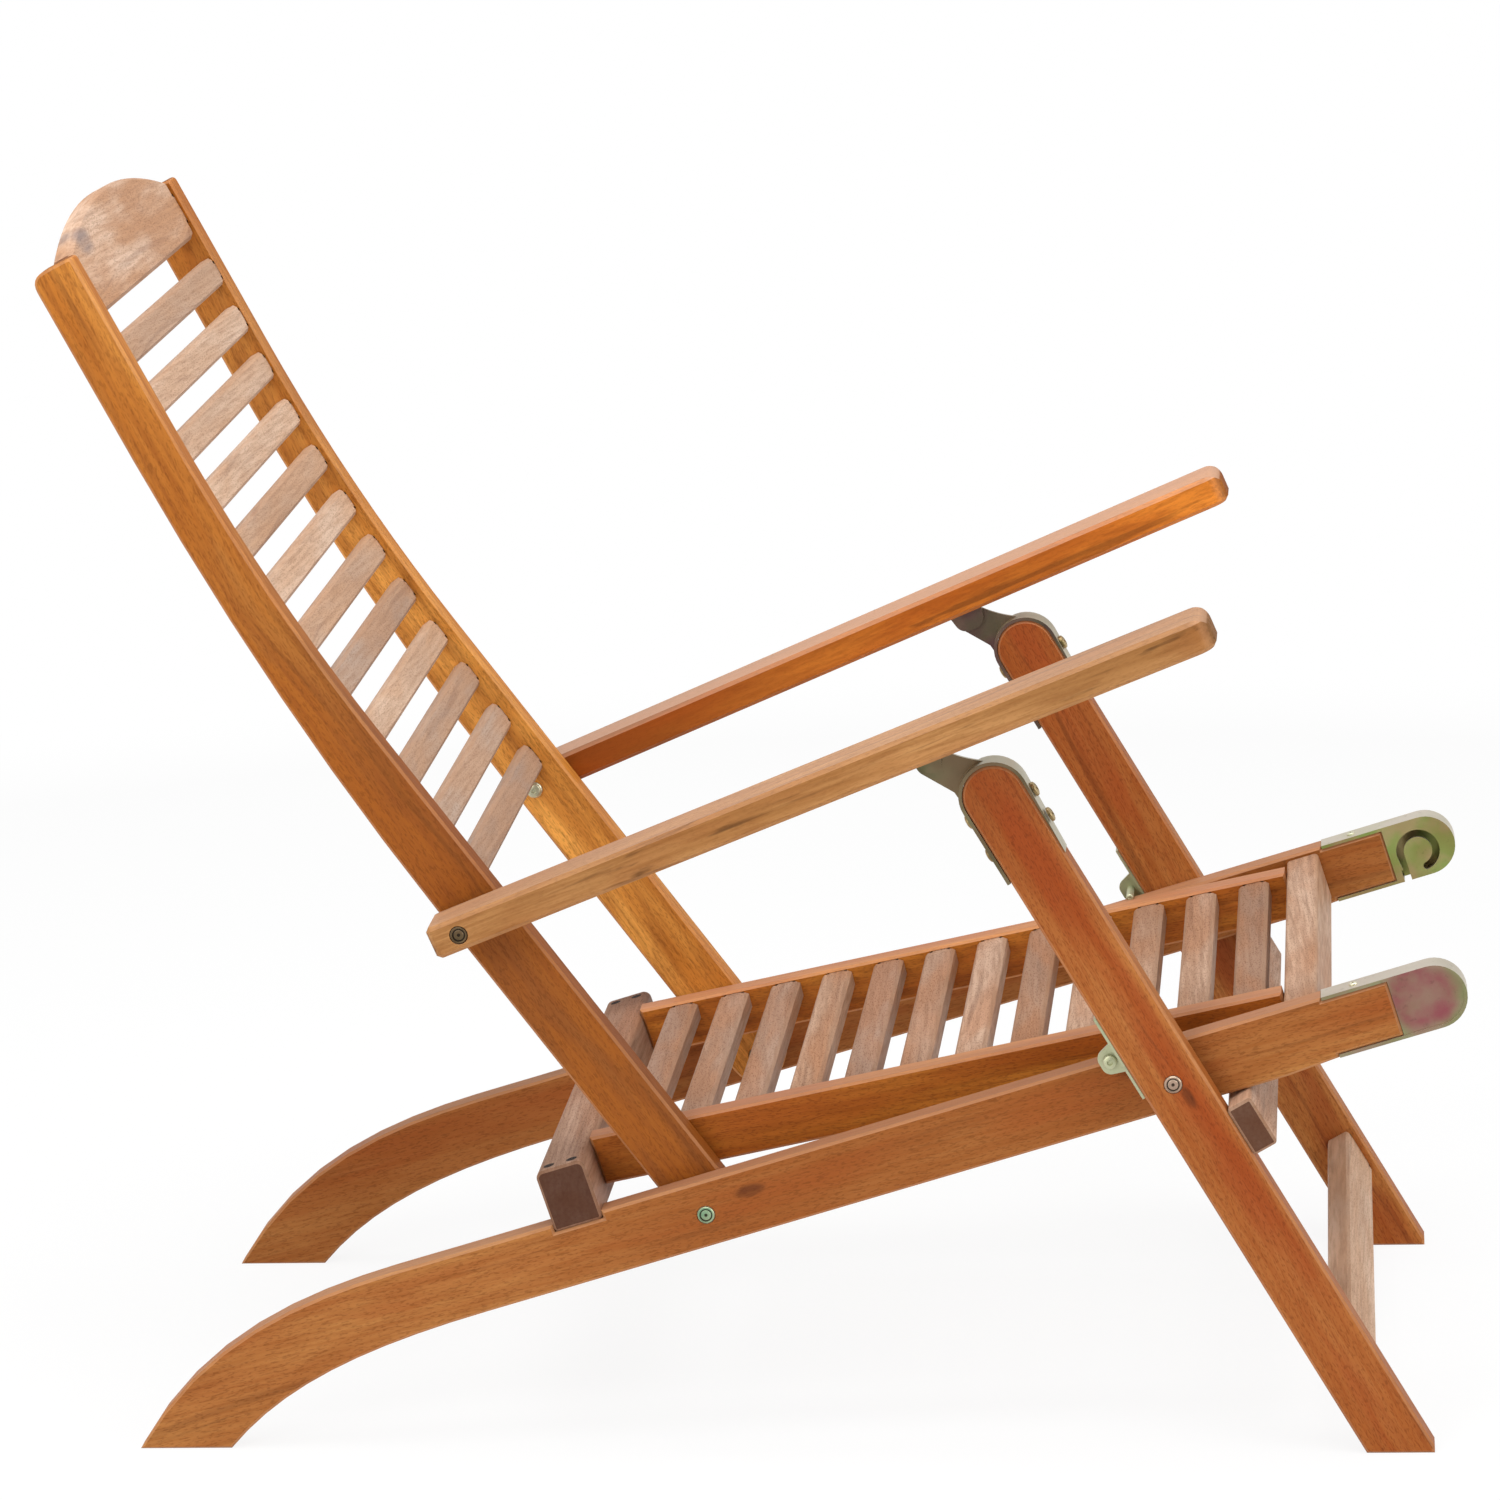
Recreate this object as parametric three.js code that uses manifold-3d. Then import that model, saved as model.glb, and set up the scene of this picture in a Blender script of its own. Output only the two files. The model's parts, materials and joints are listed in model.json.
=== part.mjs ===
// Folding steamer deck chair in oiled hardwood with zinc-plated fittings, in millimetres, +Z up.
// The sitter faces +X and left is +Y. The origin lies on the floor under the middle of the chair.
// Outlines are drawn in the side plane, as (x, z) counted from the toe of the rear feet.
import * as THREE from "three";
import { mergeVertices } from "three/addons/utils/BufferGeometryUtils.js";
import Module from "manifold-3d";

const wasm = await Module();
wasm.setup();

// Clearances
const seatGap = 0.3; // between a piece and what it sits on or in
const sideGap = 2; // between neighbouring boards that slide past each other
const overrun = 5; // how far every cutter runs past the face it cuts

// Timber sections
const railStock = { thickness: 22, above: 24.5, below: 25.5, ease: 2 };
const seatRailStock = { thickness: 22, height: 38, ease: 2 };
const stileStock = { thickness: 22, width: 46, topWidth: 35, ease: 2 };
const legStock = { thickness: 22, width: 46, ease: 2 };
const barStock = { width: 40, thickness: 20, corner: 3, ease: 2 };
const backSlat = { width: 23.5, thickness: 12, ease: 2.5, count: 12 };
const seatSlat = { width: 24.5, thickness: 16, ease: 2.5, count: 12 };
const tenon = { length: 8, shoulder: 4 };
const slatSpan = 326; // clear distance between the two seat rails

// Layers counted outward from the middle plane
const seatRailInner = slatSpan / 2;
const seatRailOuter = seatRailInner + seatRailStock.thickness;
const stileInner = seatRailOuter + sideGap;
const stileOuter = stileInner + stileStock.thickness;
const railInner = stileOuter + sideGap;
const railOuter = railInner + railStock.thickness;
const legInner = railOuter + sideGap;
const legOuter = legInner + legStock.thickness;
const legMiddle = (legInner + legOuter) / 2;

// Pivots of the folding linkage, from the toe
const legPivot = new THREE.Vector2(788.8, 286.2);
const backPivot = new THREE.Vector2(438.7, 181.9);
const armPivot = new THREE.Vector2(267.5, 407);
const hingePivot = new THREE.Vector2(618, 530);

// Slopes in degrees from level
const railSlope = 16.4;
const seatSlope = 11.6;
const backSlope = 125.7;
const legSlope = 119.7;
const armSlope = 22;

// Side rail: distances run along it from the leg pivot, forward positive
const rail = {
  toeSlope: 59.4,
  toeReach: 124.6,
  toeEnd: 554.7,
  toeEndReach: 79.9,
  footLength: 70,
  heelSlope: 49.3,
  heelReach: 64.1,
  heelEnd: 547.7,
  heelEndReach: 102.2,
  taperFrom: 80,
  taperBelow: 22.8,
  rebateFrom: 120,
  rebate: 2.5,
  noseEnd: 169.5,
};

// Cross members of the base
const rearBeam = { width: 38, height: 48, notchDepth: 6, centre: -459.2, corner: 6, lowCorner: 3, ease: 2 };
const crossbar = { width: 26, height: 40, from: 90, below: 19, corner: 3, tenonWidth: 12, tenonHeight: 24 };
const crossbarTenon = { length: 10, ease: 1.5 };

// Seat
const seat = {
  rearTop: new THREE.Vector2(358.7, 230),
  firstSlat: 11.5,
  lastSlat: 13.74,
  slatDrop: 2.5,
};

// Back: distances run up the stile from the back pivot, and "front" is the sitter's side
const back = {
  bendFrom: 430,
  bendTo: 700,
  bendAngle: 9.1,
  taperFrom: 300,
  taperTo: 695,
  top: 849,
  rearCorner: 12,
  frontCorner: 4,
  lowestSlat: 305,
  lowSetback: 12,
  highSetback: 2,
};
const headboard = {
  thickness: 17,
  height: 75,
  endHeight: 50,
  setback: 4,
  aboveStile: 1,
  gapBelow: 20,
  tenonShoulder: 12,
  lowerCorner: 9,
  ease: 3,
};

// Arm: distances run along it from the arm pivot
const arm = {
  thickness: 25,
  below: 12,
  rear: 23,
  front: 601,
  rearWidth: 46,
  frontWidth: 54,
  splay: 31.5,
  frontCorner: 14,
  rearCorner: 6,
  noseRadius: 12,
  ease: 3,
  headSink: 1,
};

// Leg: distances run up it from the leg pivot
const leg = { roundCentre: 252, toeCut: 3 };
const stretcher = { at: -245, inset: 6.5 };

// Fittings
const strap = { thickness: 2.5, tail: 62 };
const ear = {
  thickness: 3,
  tipRadius: 11.5,
  hole: 6.8,
  rootForward: 22, // degrees from the leg's axis to the ends of the root
  rootBack: 78,
  highWaistShare: 0.28,
  lowWaistShare: 0.06,
  waist: 12.7,
};
const hinge = {
  length: 64,
  width: 20,
  thickness: 2.5,
  lugRadius: 10,
  lugRoot: 14,
  lugCorner: 9.5,
  pin: 2.5,
  head: 8.4,
  headHeight: 1.8,
  wellDepth: 20,
  wellLength: 46,
  wellWidth: 9,
};
const lug = {
  length: 70,
  width: 18,
  thickness: 2,
  along: 36,
  tabRadius: 8,
  tabRoot: 12.8,
  tabCorner: 7.2,
  studRise: 7,
  studRadius: 3,
  studReach: 13,
};
const hook = {
  wall: 2.5,
  plate: 2.5,
  roundReach: 30.2,
  slotReach: 23.5,
  slotRise: -1.5,
  slotRadius: 14.4,
  slotWidth: 6,
  slotEnd: -60,
};
const pivotFitting = {
  head: 6.5,
  headHeight: 2.5,
  barrel: 4.5,
  screw: 3,
  bite: 12,
  socket: 2.4,
  socketDepth: 1.6,
  seatMargin: 0.6,
};

// Roundness of curves
const roundSteps = 10;
const latheSteps = 16;
const bowSteps = 6;
const cornerSteps = 4;
const weldDistance = 0.0001; // corners nearer each other than this count as one

const radians = THREE.MathUtils.degToRad;

// A straight line in the side plane: at(s, v) lies s along it and v to the left of it.
class Axis {
  constructor(origin, slope) {
    this.origin = origin;
    this.slope = slope;
    this.along = new THREE.Vector2(Math.cos(radians(slope)), Math.sin(radians(slope)));
    this.left = new THREE.Vector2(-this.along.y, this.along.x);
  }
  at(s, v) {
    return this.origin.clone().addScaledVector(this.along, s).addScaledVector(this.left, v);
  }
  // Where the line parallel to this one at offset v meets another axis's line at offset w.
  meet(v, other, w) {
    const start = this.at(0, v);
    const gap = other.at(0, w).sub(start);
    const s = gap.cross(other.along) / this.along.cross(other.along);
    return start.addScaledVector(this.along, s);
  }
}

const railAxis = new Axis(legPivot, railSlope);
const seatAxis = new Axis(seat.rearTop, seatSlope);
const backAxis = new Axis(backPivot, backSlope);
const armAxis = new Axis(armPivot, armSlope);
const legAxis = new Axis(legPivot, legSlope);
const floorAxis = new Axis(new THREE.Vector2(0, 0), 0);

// A closed outline from [point, corner radius] pairs, with an arc at each corner that has a radius.
function outline(corners) {
  const shape = new THREE.Shape();
  corners.forEach(([point, radius], i) => {
    const before = corners[(i + corners.length - 1) % corners.length][0];
    const after = corners[(i + 1) % corners.length][0];
    const inward = before.clone().sub(point).normalize();
    const outward = after.clone().sub(point).normalize();
    const turn = Math.acos(THREE.MathUtils.clamp(inward.dot(outward), -1, 1));
    const reach = radius ? radius / Math.tan(turn / 2) : 0;
    const enter = point.clone().addScaledVector(inward, reach);
    if (i === 0) shape.moveTo(enter.x, enter.y);
    else shape.lineTo(enter.x, enter.y);
    if (!radius) return;
    const centreWay = inward.clone().add(outward).normalize();
    const centre = point.clone().addScaledVector(centreWay, radius / Math.sin(turn / 2));
    const leave = point.clone().addScaledVector(outward, reach);
    const from = Math.atan2(enter.y - centre.y, enter.x - centre.x);
    const to = Math.atan2(leave.y - centre.y, leave.x - centre.x);
    shape.absarc(centre.x, centre.y, radius, from, to, inward.cross(outward) > 0);
  });
  return shape;
}

// A board whose face is an outline in the side plane, centred on its own mid-thickness, edges eased.
function board(shape, thickness, ease, steps = roundSteps) {
  const geometry = new THREE.ExtrudeGeometry(shape, {
    depth: thickness - 2 * ease,
    bevelEnabled: ease > 0,
    bevelThickness: ease,
    bevelSize: ease,
    bevelOffset: -ease,
    bevelSegments: 1,
    curveSegments: steps,
  });
  geometry.translate(0, 0, ease - thickness / 2);
  geometry.rotateX(Math.PI / 2);
  return geometry;
}

// A board whose face lies flat: the outline is (x, y) and the thickness runs up, centred.
function plank(shape, thickness, ease, steps = roundSteps) {
  const geometry = board(shape, thickness, ease, steps);
  geometry.rotateX(-Math.PI / 2);
  return geometry;
}

// A turned piece: the profile is [radius, height] pairs and the axis runs along +Y.
function turned(profile) {
  return new THREE.LatheGeometry(
    profile.map(([radius, height]) => new THREE.Vector2(radius, height)),
    latheSteps,
  );
}

function solid(geometry) {
  const bare = new THREE.BufferGeometry();
  bare.setAttribute("position", geometry.getAttribute("position"));
  if (geometry.index) bare.setIndex(geometry.index);
  const merged = mergeVertices(bare, weldDistance);
  return new wasm.Manifold(
    new wasm.Mesh({
      numProp: 3,
      vertProperties: new Float32Array(merged.attributes.position.array),
      triVerts: new Uint32Array(merged.index.array),
    }),
  );
}

function shaped(manifold) {
  const mesh = manifold.getMesh();
  const geometry = new THREE.BufferGeometry();
  geometry.setAttribute("position", new THREE.BufferAttribute(mesh.vertProperties, 3));
  geometry.setIndex(new THREE.BufferAttribute(mesh.triVerts, 1));
  const faceted = geometry.toNonIndexed();
  faceted.computeVertexNormals();
  return faceted;
}

function cut(geometry, cutters) {
  return shaped(cutters.reduce((whole, cutter) => whole.subtract(solid(cutter)), solid(geometry)));
}

function joined(geometries) {
  const [first, ...rest] = geometries.map(solid);
  return shaped(rest.reduce((whole, piece) => whole.add(piece), first));
}

// A box lying along an axis: its centre is given in the side plane, and y is its middle.
function bar(length, width, height, point, y, slope) {
  const geometry = new THREE.BoxGeometry(length, width, height);
  geometry.rotateY(-radians(slope));
  geometry.translate(point.x, y, point.y);
  return geometry;
}

// A round bar across the chair from y0 to y1.
function rod(radius, point, y0, y1) {
  const geometry = new THREE.CylinderGeometry(radius, radius, y1 - y0, latheSteps);
  geometry.translate(point.x, (y0 + y1) / 2, point.y);
  return geometry;
}

// Finishes
const wood = (color) => new THREE.MeshStandardMaterial({ color, roughness: 0.62, metalness: 0 });
const railWood = wood(0xb06a34);
const backWood = wood(0xb5702f);
const legWood = wood(0xa85a28);
const armWood = wood(0xb57a45);
const slatWood = wood(0xb08468);
const zinc = new THREE.MeshStandardMaterial({ color: 0xb9b48f, roughness: 0.38, metalness: 0.9 });

const chair = new THREE.Group();
const toeFrame = new THREE.Group();
chair.add(toeFrame);

function add(name, geometry, material) {
  const mesh = new THREE.Mesh(geometry, material);
  mesh.name = name;
  toeFrame.add(mesh);
  return mesh;
}

// A piece for each side: the geometry is drawn for the left side, and the right one mirrors it.
function addPair(name, geometry, material) {
  add("left_" + name, geometry, material);
  const mirror = new THREE.Group();
  mirror.scale.y = -1;
  toeFrame.add(mirror);
  const mesh = new THREE.Mesh(geometry, material);
  mesh.name = "right_" + name;
  mirror.add(mesh);
}

// A slat or bar across the chair with a stub tenon at each end, drawn as a plank in plan.
function tenonedPlank(span, width, thickness, ease, shoulder, tenonLength) {
  const half = span / 2 - seatGap;
  const x = width / 2;
  const neck = x - shoulder;
  const tip = half + tenonLength;
  const corners = [
    [-x, -half], [-neck, -half], [-neck, -tip], [neck, -tip], [neck, -half], [x, -half],
    [x, half], [neck, half], [neck, tip], [-neck, tip], [-neck, half], [-x, half],
  ];
  return plank(outline(corners.map(([a, b]) => [new THREE.Vector2(a, b), 0])), thickness, ease);
}

// The pocket that a stub tenon fits, on the left side board whose inner face is at y.
function mortise(width, height, depth, point, y, slope) {
  const run = depth + 2 * seatGap + overrun;
  return bar(width + 2 * seatGap, run, height + 2 * seatGap, point, y - overrun + run / 2, slope);
}

// Folding pivots: a headed sleeve from outside, and a screw into it from inside
const sleeveBore = pivotFitting.barrel + seatGap;
const headSeat = pivotFitting.head + pivotFitting.seatMargin;
const headDepth = pivotFitting.headHeight + seatGap;

function sleeve(point, outerFace, innerFace) {
  const f = pivotFitting;
  const top = outerFace - seatGap;
  const under = top - f.headHeight;
  const end = innerFace + headDepth + seatGap;
  const geometry = turned([
    [0, end + f.bite],
    [f.screw + seatGap, end + f.bite],
    [f.screw + seatGap, end],
    [f.barrel, end],
    [f.barrel, under],
    [f.head, under],
    [f.head, top - f.socketDepth / 2],
    [f.head - f.socketDepth / 2, top],
    [f.socket, top],
    [f.socket, top - f.socketDepth],
    [0, top - f.socketDepth],
  ]);
  return geometry.translate(point.x, 0, point.y);
}

function screw(point, innerFace, proud) {
  const f = pivotFitting;
  const bottom = proud ? innerFace - seatGap - f.headHeight : innerFace + seatGap;
  const shoulder = bottom + f.headHeight;
  const tip = innerFace + headDepth + f.bite - seatGap;
  const geometry = turned([
    [0, bottom + f.socketDepth],
    [f.socket, bottom + f.socketDepth],
    [f.socket, bottom],
    [f.head - f.socketDepth / 2, bottom],
    [f.head, bottom + f.socketDepth / 2],
    [f.head, shoulder],
    [f.screw, shoulder],
    [f.screw, tip],
    [0, tip],
  ]);
  return geometry.translate(point.x, 0, point.y);
}

// The nose of a side rail is rebated for its metal cap.
const noseAbove = railStock.above - rail.rebate;
const noseBelow = rail.taperBelow - rail.rebate;

// Base: two side rails with curved rear feet, a rear beam, a front crossbar and the seat
function sideRail() {
  const shape = new THREE.Shape();
  const topStart = railAxis.at(-rail.toeEnd, railStock.above);
  const topPull = railAxis.at(-rail.toeEnd - rail.toeEndReach, railStock.above);
  const underStart = railAxis.at(-rail.heelEnd, -railStock.below);
  const underPull = railAxis.at(-rail.heelEnd - rail.heelEndReach, -railStock.below);
  const toe = new Axis(new THREE.Vector2(0, 0), rail.toeSlope).at(rail.toeReach, 0);
  const heel = new Axis(new THREE.Vector2(rail.footLength, 0), rail.heelSlope).at(rail.heelReach, 0);
  const notch = rearBeam.width / 2 + seatGap;
  const floorOfNotch = railStock.above - rearBeam.notchDepth;
  const straight = [
    railAxis.at(rail.taperFrom, -railStock.below),
    railAxis.at(rail.rebateFrom, -rail.taperBelow),
    railAxis.at(rail.rebateFrom, -noseBelow),
    railAxis.at(rail.noseEnd, -noseBelow),
    railAxis.at(rail.noseEnd, noseAbove),
    railAxis.at(rail.rebateFrom, noseAbove),
    railAxis.at(rail.rebateFrom, railStock.above),
    railAxis.at(rearBeam.centre + notch, railStock.above),
    railAxis.at(rearBeam.centre + notch, floorOfNotch),
    railAxis.at(rearBeam.centre - notch, floorOfNotch),
    railAxis.at(rearBeam.centre - notch, railStock.above),
    topStart,
  ];
  shape.moveTo(rail.footLength, 0);
  shape.bezierCurveTo(heel.x, heel.y, underPull.x, underPull.y, underStart.x, underStart.y);
  straight.forEach((point) => shape.lineTo(point.x, point.y));
  shape.bezierCurveTo(topPull.x, topPull.y, toe.x, toe.y, 0, 0);
  const blank = board(shape, railStock.thickness, railStock.ease);
  blank.translate(0, (railInner + railOuter) / 2, 0);
  const socket = mortise(
    crossbar.tenonWidth,
    crossbar.tenonHeight,
    crossbarTenon.length,
    crossbarMiddle,
    railInner,
    railSlope,
  );
  return cut(blank, [
    rod(sleeveBore, legPivot, railInner - overrun, railOuter + overrun),
    rod(headSeat, legPivot, railInner - overrun, railInner + headDepth + seatGap),
    rod(sleeveBore, backPivot, railInner - overrun, railOuter + overrun),
    rod(headSeat, backPivot, railOuter - headDepth, railOuter + overrun),
    socket,
  ]);
}

const crossbarMiddle = railAxis.at(
  crossbar.from + crossbar.width / 2,
  crossbar.height / 2 - crossbar.below,
);
addPair("side_rail", sideRail(), railWood);

function crossMember(length, width, height, corner, lowCorner, ease, middle, slope) {
  const section = outline(
    [[-1, -1], [1, -1], [1, 1], [-1, 1]].map(([a, b]) => [
      new THREE.Vector2((a * width) / 2, (b * height) / 2),
      b > 0 ? corner : lowCorner,
    ]),
  );
  const geometry = board(section, length, ease, cornerSteps);
  geometry.rotateY(-radians(slope));
  return geometry.translate(middle.x, 0, middle.y);
}

const rearBeamMiddle = railAxis.at(
  rearBeam.centre,
  railStock.above - rearBeam.notchDepth + seatGap + rearBeam.height / 2,
);
add(
  "rear_seat_beam",
  crossMember(
    2 * railOuter,
    rearBeam.width,
    rearBeam.height,
    rearBeam.corner,
    rearBeam.lowCorner,
    rearBeam.ease,
    rearBeamMiddle,
    railSlope,
  ),
  slatWood,
);

const crossbarReach = railInner + crossbarTenon.length;
add(
  "front_crossbar",
  joined([
    crossMember(
      2 * (railInner - seatGap),
      crossbar.width,
      crossbar.height,
      crossbar.corner,
      crossbar.corner,
      crossbarTenon.ease,
      crossbarMiddle,
      railSlope,
    ),
    bar(crossbar.tenonWidth, 2 * crossbarReach, crossbar.tenonHeight, crossbarMiddle, 0, railSlope),
  ]),
  slatWood,
);

// Seat rails run from the rear beam's front face to the crossbar's rear face.
const beamFace = new Axis(railAxis.at(rearBeam.centre + rearBeam.width / 2 + seatGap, 0), railSlope + 90);
const barFace = new Axis(railAxis.at(crossbar.from - seatGap, 0), railSlope + 90);
const seatFront = seatAxis.meet(0, barFace, 0).distanceTo(seat.rearTop);
const firstMiddle = seat.firstSlat + seatSlat.width / 2;
const lastMiddle = seatFront - seat.lastSlat - seatSlat.width / 2;
const slatMiddles = Array.from({ length: seatSlat.count }, (_, i) =>
  seatAxis.at(
    THREE.MathUtils.lerp(firstMiddle, lastMiddle, i / (seatSlat.count - 1)),
    -seat.slatDrop - seatSlat.thickness / 2,
  ),
);

function seatRail() {
  const corners = [
    [seatAxis.meet(-seatRailStock.height, beamFace, 0), 0],
    [seatAxis.meet(-seatRailStock.height, barFace, 0), 0],
    [seatAxis.meet(0, barFace, 0), 0],
    [seatAxis.meet(0, beamFace, 0), 0],
  ];
  const blank = board(outline(corners), seatRailStock.thickness, seatRailStock.ease);
  blank.translate(0, (seatRailInner + seatRailOuter) / 2, 0);
  const width = seatSlat.width - 2 * tenon.shoulder;
  return cut(
    blank,
    slatMiddles.map((middle) =>
      mortise(width, seatSlat.thickness, tenon.length, middle, seatRailInner, seatSlope),
    ),
  );
}
addPair("seat_rail", seatRail(), railWood);

slatMiddles.forEach((middle, i) => {
  const geometry = tenonedPlank(
    slatSpan,
    seatSlat.width,
    seatSlat.thickness,
    seatSlat.ease,
    tenon.shoulder,
    tenon.length,
  );
  const slat = add("seat_slat_" + (i + 1), geometry, slatWood);
  slat.rotation.y = -radians(seatSlope);
  slat.position.set(middle.x, 0, middle.y);
});

// Back: two bowed stiles, slats set into them, and a crowned headboard
const bendLength = back.bendTo - back.bendFrom;
const bendRadius = bendLength / radians(back.bendAngle);

// A point of the stile's front edge at height s, set back by the given distance, and its slope there.
function frontEdge(s, setback) {
  const half = stileStock.width / 2;
  const bent = radians(back.bendAngle) * THREE.MathUtils.clamp((s - back.bendFrom) / bendLength, 0, 1);
  const along = bendRadius * Math.sin(bent);
  const rise = bendRadius * (1 - Math.cos(bent));
  const past = Math.max(s - back.bendTo, 0);
  const start = Math.min(s, back.bendFrom);
  const point = backAxis.at(
    start + along + past * Math.cos(bent) + setback * Math.sin(bent),
    -half - rise - past * Math.sin(bent) + setback * Math.cos(bent),
  );
  return { point, slope: backSlope - THREE.MathUtils.radToDeg(bent) };
}

// The headboard's ends finish level with the stiles, and the slats are spaced evenly below it.
const headFoot = back.top + headboard.aboveStile - headboard.endHeight;
const topSlat = headFoot - headboard.gapBelow - backSlat.width / 2;
const slatSpots = Array.from({ length: backSlat.count }, (_, i) => {
  const share = i / (backSlat.count - 1);
  const setback = THREE.MathUtils.lerp(back.lowSetback, back.highSetback, share);
  const height = THREE.MathUtils.lerp(back.lowestSlat, topSlat, share);
  const spot = frontEdge(height, setback + backSlat.thickness / 2);
  return { middle: spot.point, slope: spot.slope };
});
const headSpot = frontEdge(headFoot, headboard.setback + headboard.thickness / 2);

function stile() {
  const shape = new THREE.Shape();
  const half = stileStock.width / 2;
  const topFront = frontEdge(back.top, 0);
  const topAxis = new Axis(topFront.point, topFront.slope);
  const taperEnd = frontEdge(back.taperTo, stileStock.topWidth);
  const rearTaper = new Axis(taperEnd.point, taperEnd.slope);
  const rearLow = backAxis.at(back.taperFrom, half);
  const pull = rearTaper.meet(0, backAxis, half);
  const rearHigh = rearTaper.at(0, 0);
  const corner = topAxis.at(0, stileStock.topWidth);
  const facing = radians(backSlope);
  shape.absarc(backPivot.x, backPivot.y, half, facing + Math.PI / 2, facing + Math.PI * 1.5, false);
  const bendStart = frontEdge(back.bendFrom, 0).point;
  shape.lineTo(bendStart.x, bendStart.y);
  for (let i = 1; i <= roundSteps; i++) {
    const point = frontEdge(back.bendFrom + (bendLength * i) / roundSteps, 0).point;
    shape.lineTo(point.x, point.y);
  }
  const frontIn = topAxis.at(-back.frontCorner, 0);
  const frontOut = topAxis.at(0, back.frontCorner);
  const rearIn = topAxis.at(0, stileStock.topWidth - back.rearCorner);
  const rearOut = topAxis.at(-back.rearCorner, stileStock.topWidth);
  shape.lineTo(frontIn.x, frontIn.y);
  shape.quadraticCurveTo(topFront.point.x, topFront.point.y, frontOut.x, frontOut.y);
  shape.lineTo(rearIn.x, rearIn.y);
  shape.quadraticCurveTo(corner.x, corner.y, rearOut.x, rearOut.y);
  shape.lineTo(rearHigh.x, rearHigh.y);
  shape.quadraticCurveTo(pull.x, pull.y, rearLow.x, rearLow.y);
  const blank = board(shape, stileStock.thickness, stileStock.ease, bowSteps);
  blank.translate(0, (stileInner + stileOuter) / 2, 0);
  const slatTenon = backSlat.width - 2 * tenon.shoulder;
  const pockets = slatSpots.map(({ middle, slope }) =>
    mortise(slatTenon, backSlat.thickness, tenon.length, middle, stileInner, slope),
  );
  const headPocket = mortise(
    headboard.endHeight - 2 * headboard.tenonShoulder,
    headboard.thickness,
    tenon.length,
    headAxis.at(headboard.endHeight / 2, 0),
    stileInner,
    headSpot.slope,
  );
  return cut(blank, [
    rod(sleeveBore, backPivot, stileInner - overrun, stileOuter + overrun),
    rod(headSeat, backPivot, stileInner - overrun, stileInner + headDepth + seatGap),
    rod(sleeveBore, armPivot, stileInner - overrun, stileOuter + overrun),
    ...pockets,
    headPocket,
  ]);
}

const headAxis = new Axis(headSpot.point, headSpot.slope);
addPair("back_stile", stile(), backWood);

slatSpots.forEach(({ middle, slope }, i) => {
  const geometry = tenonedPlank(
    2 * stileInner,
    backSlat.width,
    backSlat.thickness,
    backSlat.ease,
    tenon.shoulder,
    tenon.length,
  );
  const slat = add("back_slat_" + (i + 1), geometry, slatWood);
  slat.rotation.y = -radians(slope);
  slat.position.set(middle.x, 0, middle.y);
});

// The headboard is a plank in its own plane: x runs up the back and y across the chair.
function crownedBoard() {
  const half = stileInner - seatGap;
  const tip = half + tenon.length;
  const crownRise = headboard.height - headboard.endHeight;
  const crownRadius = (half * half + crownRise * crownRise) / (2 * crownRise);
  const crownSpread = Math.asin(half / crownRadius);
  const neckLow = headboard.tenonShoulder;
  const neckHigh = headboard.endHeight - headboard.tenonShoulder;
  const foot = headboard.lowerCorner;
  const shape = new THREE.Shape();
  shape.moveTo(0, half - foot);
  shape.quadraticCurveTo(0, half, foot, half);
  [[neckLow, half], [neckLow, tip], [neckHigh, tip], [neckHigh, half]].forEach(([x, y]) =>
    shape.lineTo(x, y),
  );
  shape.lineTo(headboard.endHeight, half);
  shape.absarc(headboard.height - crownRadius, 0, crownRadius, crownSpread, -crownSpread, true);
  [[neckHigh, -half], [neckHigh, -tip], [neckLow, -tip], [neckLow, -half], [foot, -half]].forEach(
    ([x, y]) => shape.lineTo(x, y),
  );
  shape.quadraticCurveTo(0, -half, 0, foot - half);
  return plank(shape, headboard.thickness, headboard.ease);
}
const head = add("headboard", crownedBoard(), slatWood);
head.rotation.y = -radians(headSpot.slope);
head.position.set(headSpot.point.x, 0, headSpot.point.y);

// Legs, with a stretcher between them and a stop beam across their front edges
const legHalf = legStock.width / 2;

function legBoard() {
  const foot = legAxis.meet(-legHalf, floorAxis, 0);
  const toeX = foot.x - leg.toeCut;
  const toeCut = new Axis(new THREE.Vector2(toeX, 0), 90);
  const clipTop = legAxis.meet(-legHalf, toeCut, 0);
  const heelPoint = legAxis.meet(legHalf, floorAxis, 0);
  const top = legAxis.at(leg.roundCentre, 0);
  const facing = radians(legSlope);
  const shape = new THREE.Shape();
  shape.absarc(top.x, top.y, legHalf, facing - Math.PI / 2, facing + Math.PI / 2, false);
  shape.lineTo(heelPoint.x, heelPoint.y);
  shape.lineTo(toeX, 0);
  shape.lineTo(clipTop.x, clipTop.y);
  const blank = board(shape, legStock.thickness, legStock.ease);
  blank.translate(0, legMiddle, 0);
  const pocket = mortise(
    barStock.width - 2 * tenon.shoulder,
    barStock.thickness,
    tenon.length,
    stretcherMiddle,
    legInner,
    legSlope,
  );
  return cut(blank, [
    rod(sleeveBore, legPivot, legInner - overrun, legOuter + overrun),
    rod(headSeat, legPivot, legOuter - headDepth, legOuter + overrun),
    pocket,
  ]);
}
const stretcherMiddle = legAxis.at(stretcher.at, stretcher.inset + barStock.thickness / 2 - legHalf);
addPair("front_leg", legBoard(), legWood);

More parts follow.
